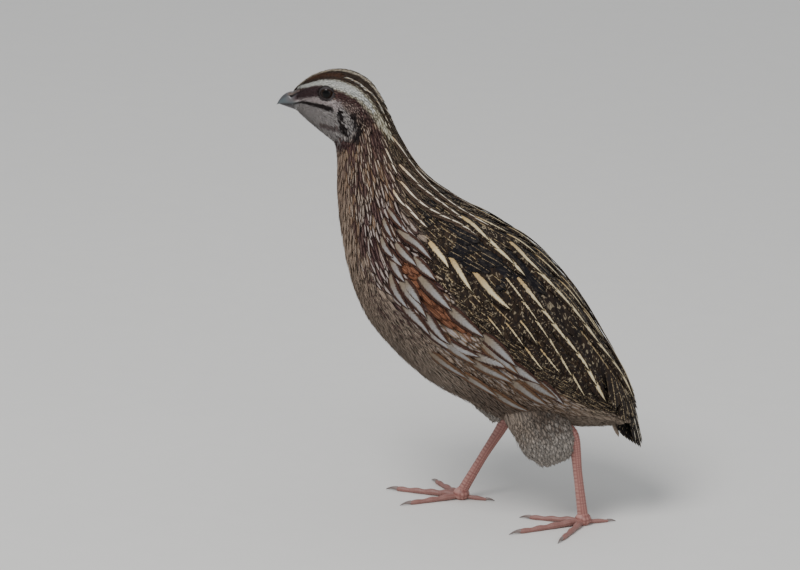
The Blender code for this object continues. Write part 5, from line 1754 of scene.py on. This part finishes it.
def tail_layer(turn, start, length, width, heights, kind, draw):
    """Feathers side by side over or under the tail, each turned out by some degrees."""
    t = np.linspace(0.0, 1.0, QUILL_GRID[0])
    turn = np.asarray(turn, float)
    reach = np.asarray(length, float).reshape(-1, 1) * t
    u = -(start + reach * np.cos(np.radians(turn))[:, None])
    a = 0.15 * turn[:, None] + reach * np.sin(np.radians(turn))[:, None]
    base, end = (np.asarray(h, float).reshape(-1, 1) for h in heights)
    height = base + (end - base) * t + np.zeros_like(u)
    patch = np.stack([0.5 + 0.01 * turn, 0.03 + np.zeros(len(turn))], -1)
    shape = {"point": 0.6, "sharp": 0.5, "thick": 0.2, "crown": 0.10, "fray": 0.08}
    looks = vary(np.repeat(look(kind)[None, :], len(turn), 0), draw, 0.08)
    return coat_of(draw, u, a, height, length, width, looks, patch, **shape)


class TailOperator(bpy.types.Operator):
    """The short tail: six pairs of quills between soft coverts"""

    bl_idname = "quail.tail"
    bl_label = "Tail"

    def execute(self, context):
        draw = np.random.default_rng(context.scene.quail_plumage.seed + 9)
        order = np.arange(TAIL_QUILLS)
        pair, side = order // 2, np.where(order % 2 == 0, 1.0, -1.0)
        shift = -(0.1 + 0.34 * pair + np.where(side < 0, 0.17, 0.0))
        fan, long = (1.5 + 2.6 * pair) * side, QUILL_LENGTH - 1.2 * pair
        parts = [tail_layer(fan, 0.5, long, QUILL_WIDTH, (shift, shift), "tail", draw)]
        for count, fan, start, length, width, heights, kind in TAIL_COVERTS:
            turn = np.linspace(-fan, fan, count) + draw.normal(0, 1.5, count)
            long = length * draw.uniform(0.88, 1.1, count)
            parts.append(tail_layer(turn, start, long, width, heights, kind, draw))
        obj = grow("tail_feathers", tail_surface, join(*parts), *QUILL_GRID)
        finish_piece(obj, plumage(quills=True), "quill_feathers", "tail")
        return {"FINISHED"}


class ThighsOperator(bpy.types.Operator):
    """Loose pale feathers round both thighs"""

    bl_idname = "quail.thighs"
    bl_label = "Thigh feathers"

    def execute(self, context):
        for side, _ in SIDES:
            draw = np.random.default_rng(context.scene.quail_plumage.seed + 10)
            surface = thigh_surface(side)
            u, a = roots(surface, (0.75, 2.9), (-180.0, 180.0), lambda s: (6.5, 1.5), draw, 0.12, 0.42)
            every = np.ones(len(u))
            length = 5.5 * every * draw.uniform(0.7, 1.35, len(u))
            coat = base_coat(u, a, length, 1.5 * every, 1.2 * every, draw, THIGH_GRID[0], surface, 0.3)
            loose = draw.normal(0, 0.22, len(u))[:, None]
            coat["height"] += loose * np.linspace(0, 1, THIGH_GRID[0]) ** 2
            coat["look"] = np.repeat(look("thigh")[None, :], len(u), 0)
            high = smooth(1.5, 2.5, u + draw.normal(0, 0.18, len(u)))
            front = smooth(-0.2, 0.5, np.cos(np.radians(a)))
            # the thigh's upper back is painted darker: painted shade under the flank
            over(coat["look"], "hip", high * (1 - front) * 0.85)
            over(coat["look"], "belly", high * front * 0.85)
            vary(coat["look"], draw, 0.12)
            coat["patch"] = thigh_place(side, u, signed(a))
            coat["crown"] *= 0.5
            obj = grow("thigh_feathers_" + side, surface, coat, *THIGH_GRID)
            finish_piece(obj, plumage(), "thigh_feathers")
        return {"FINISHED"}


GROUPS = (QuailStage, QuailPlumage, QuailHead, QuailLegs)
OPERATORS = (
    StageOperator,
    SkinOperator,
    EyesOperator,
    LidsOperator,
    BillOperator,
    LegsOperator,
    ClawsOperator,
    HeadCoatOperator,
    BodyCoatOperator,
    StreakedOperator,
    WingsOperator,
    TailOperator,
    ThighsOperator,
)
SETTINGS = {
    "quail_stage": QuailStage,
    "quail_plumage": QuailPlumage,
    "quail_head": QuailHead,
    "quail_legs": QuailLegs,
}


class QuailPanel(bpy.types.Panel):
    """Lists the quail's sizes, colours and pieces"""

    bl_idname = "VIEW3D_PT_quail"
    bl_label = "Quail"
    bl_space_type = "VIEW_3D"
    bl_region_type = "UI"
    bl_category = "Quail"

    def draw(self, context):
        for name, kind in SETTINGS.items():
            box = self.layout.box()
            for label in kind.__annotations__:
                box.prop(getattr(context.scene, name), label)
        for operator in OPERATORS:
            self.layout.operator(operator.bl_idname)


def register():
    for kind in (*GROUPS, *OPERATORS, QuailPanel):
        bpy.utils.register_class(kind)
    for name, kind in SETTINGS.items():
        setattr(bpy.types.Scene, name, bpy.props.PointerProperty(type=kind))


def unregister():
    for name in SETTINGS:
        delattr(bpy.types.Scene, name)
    for kind in reversed((*GROUPS, *OPERATORS, QuailPanel)):
        bpy.utils.unregister_class(kind)


def main():
    register()
    for operator in OPERATORS:
        family, name = operator.bl_idname.split(".")
        getattr(getattr(bpy.ops, family), name)()


if __name__ == "__main__":
    main()
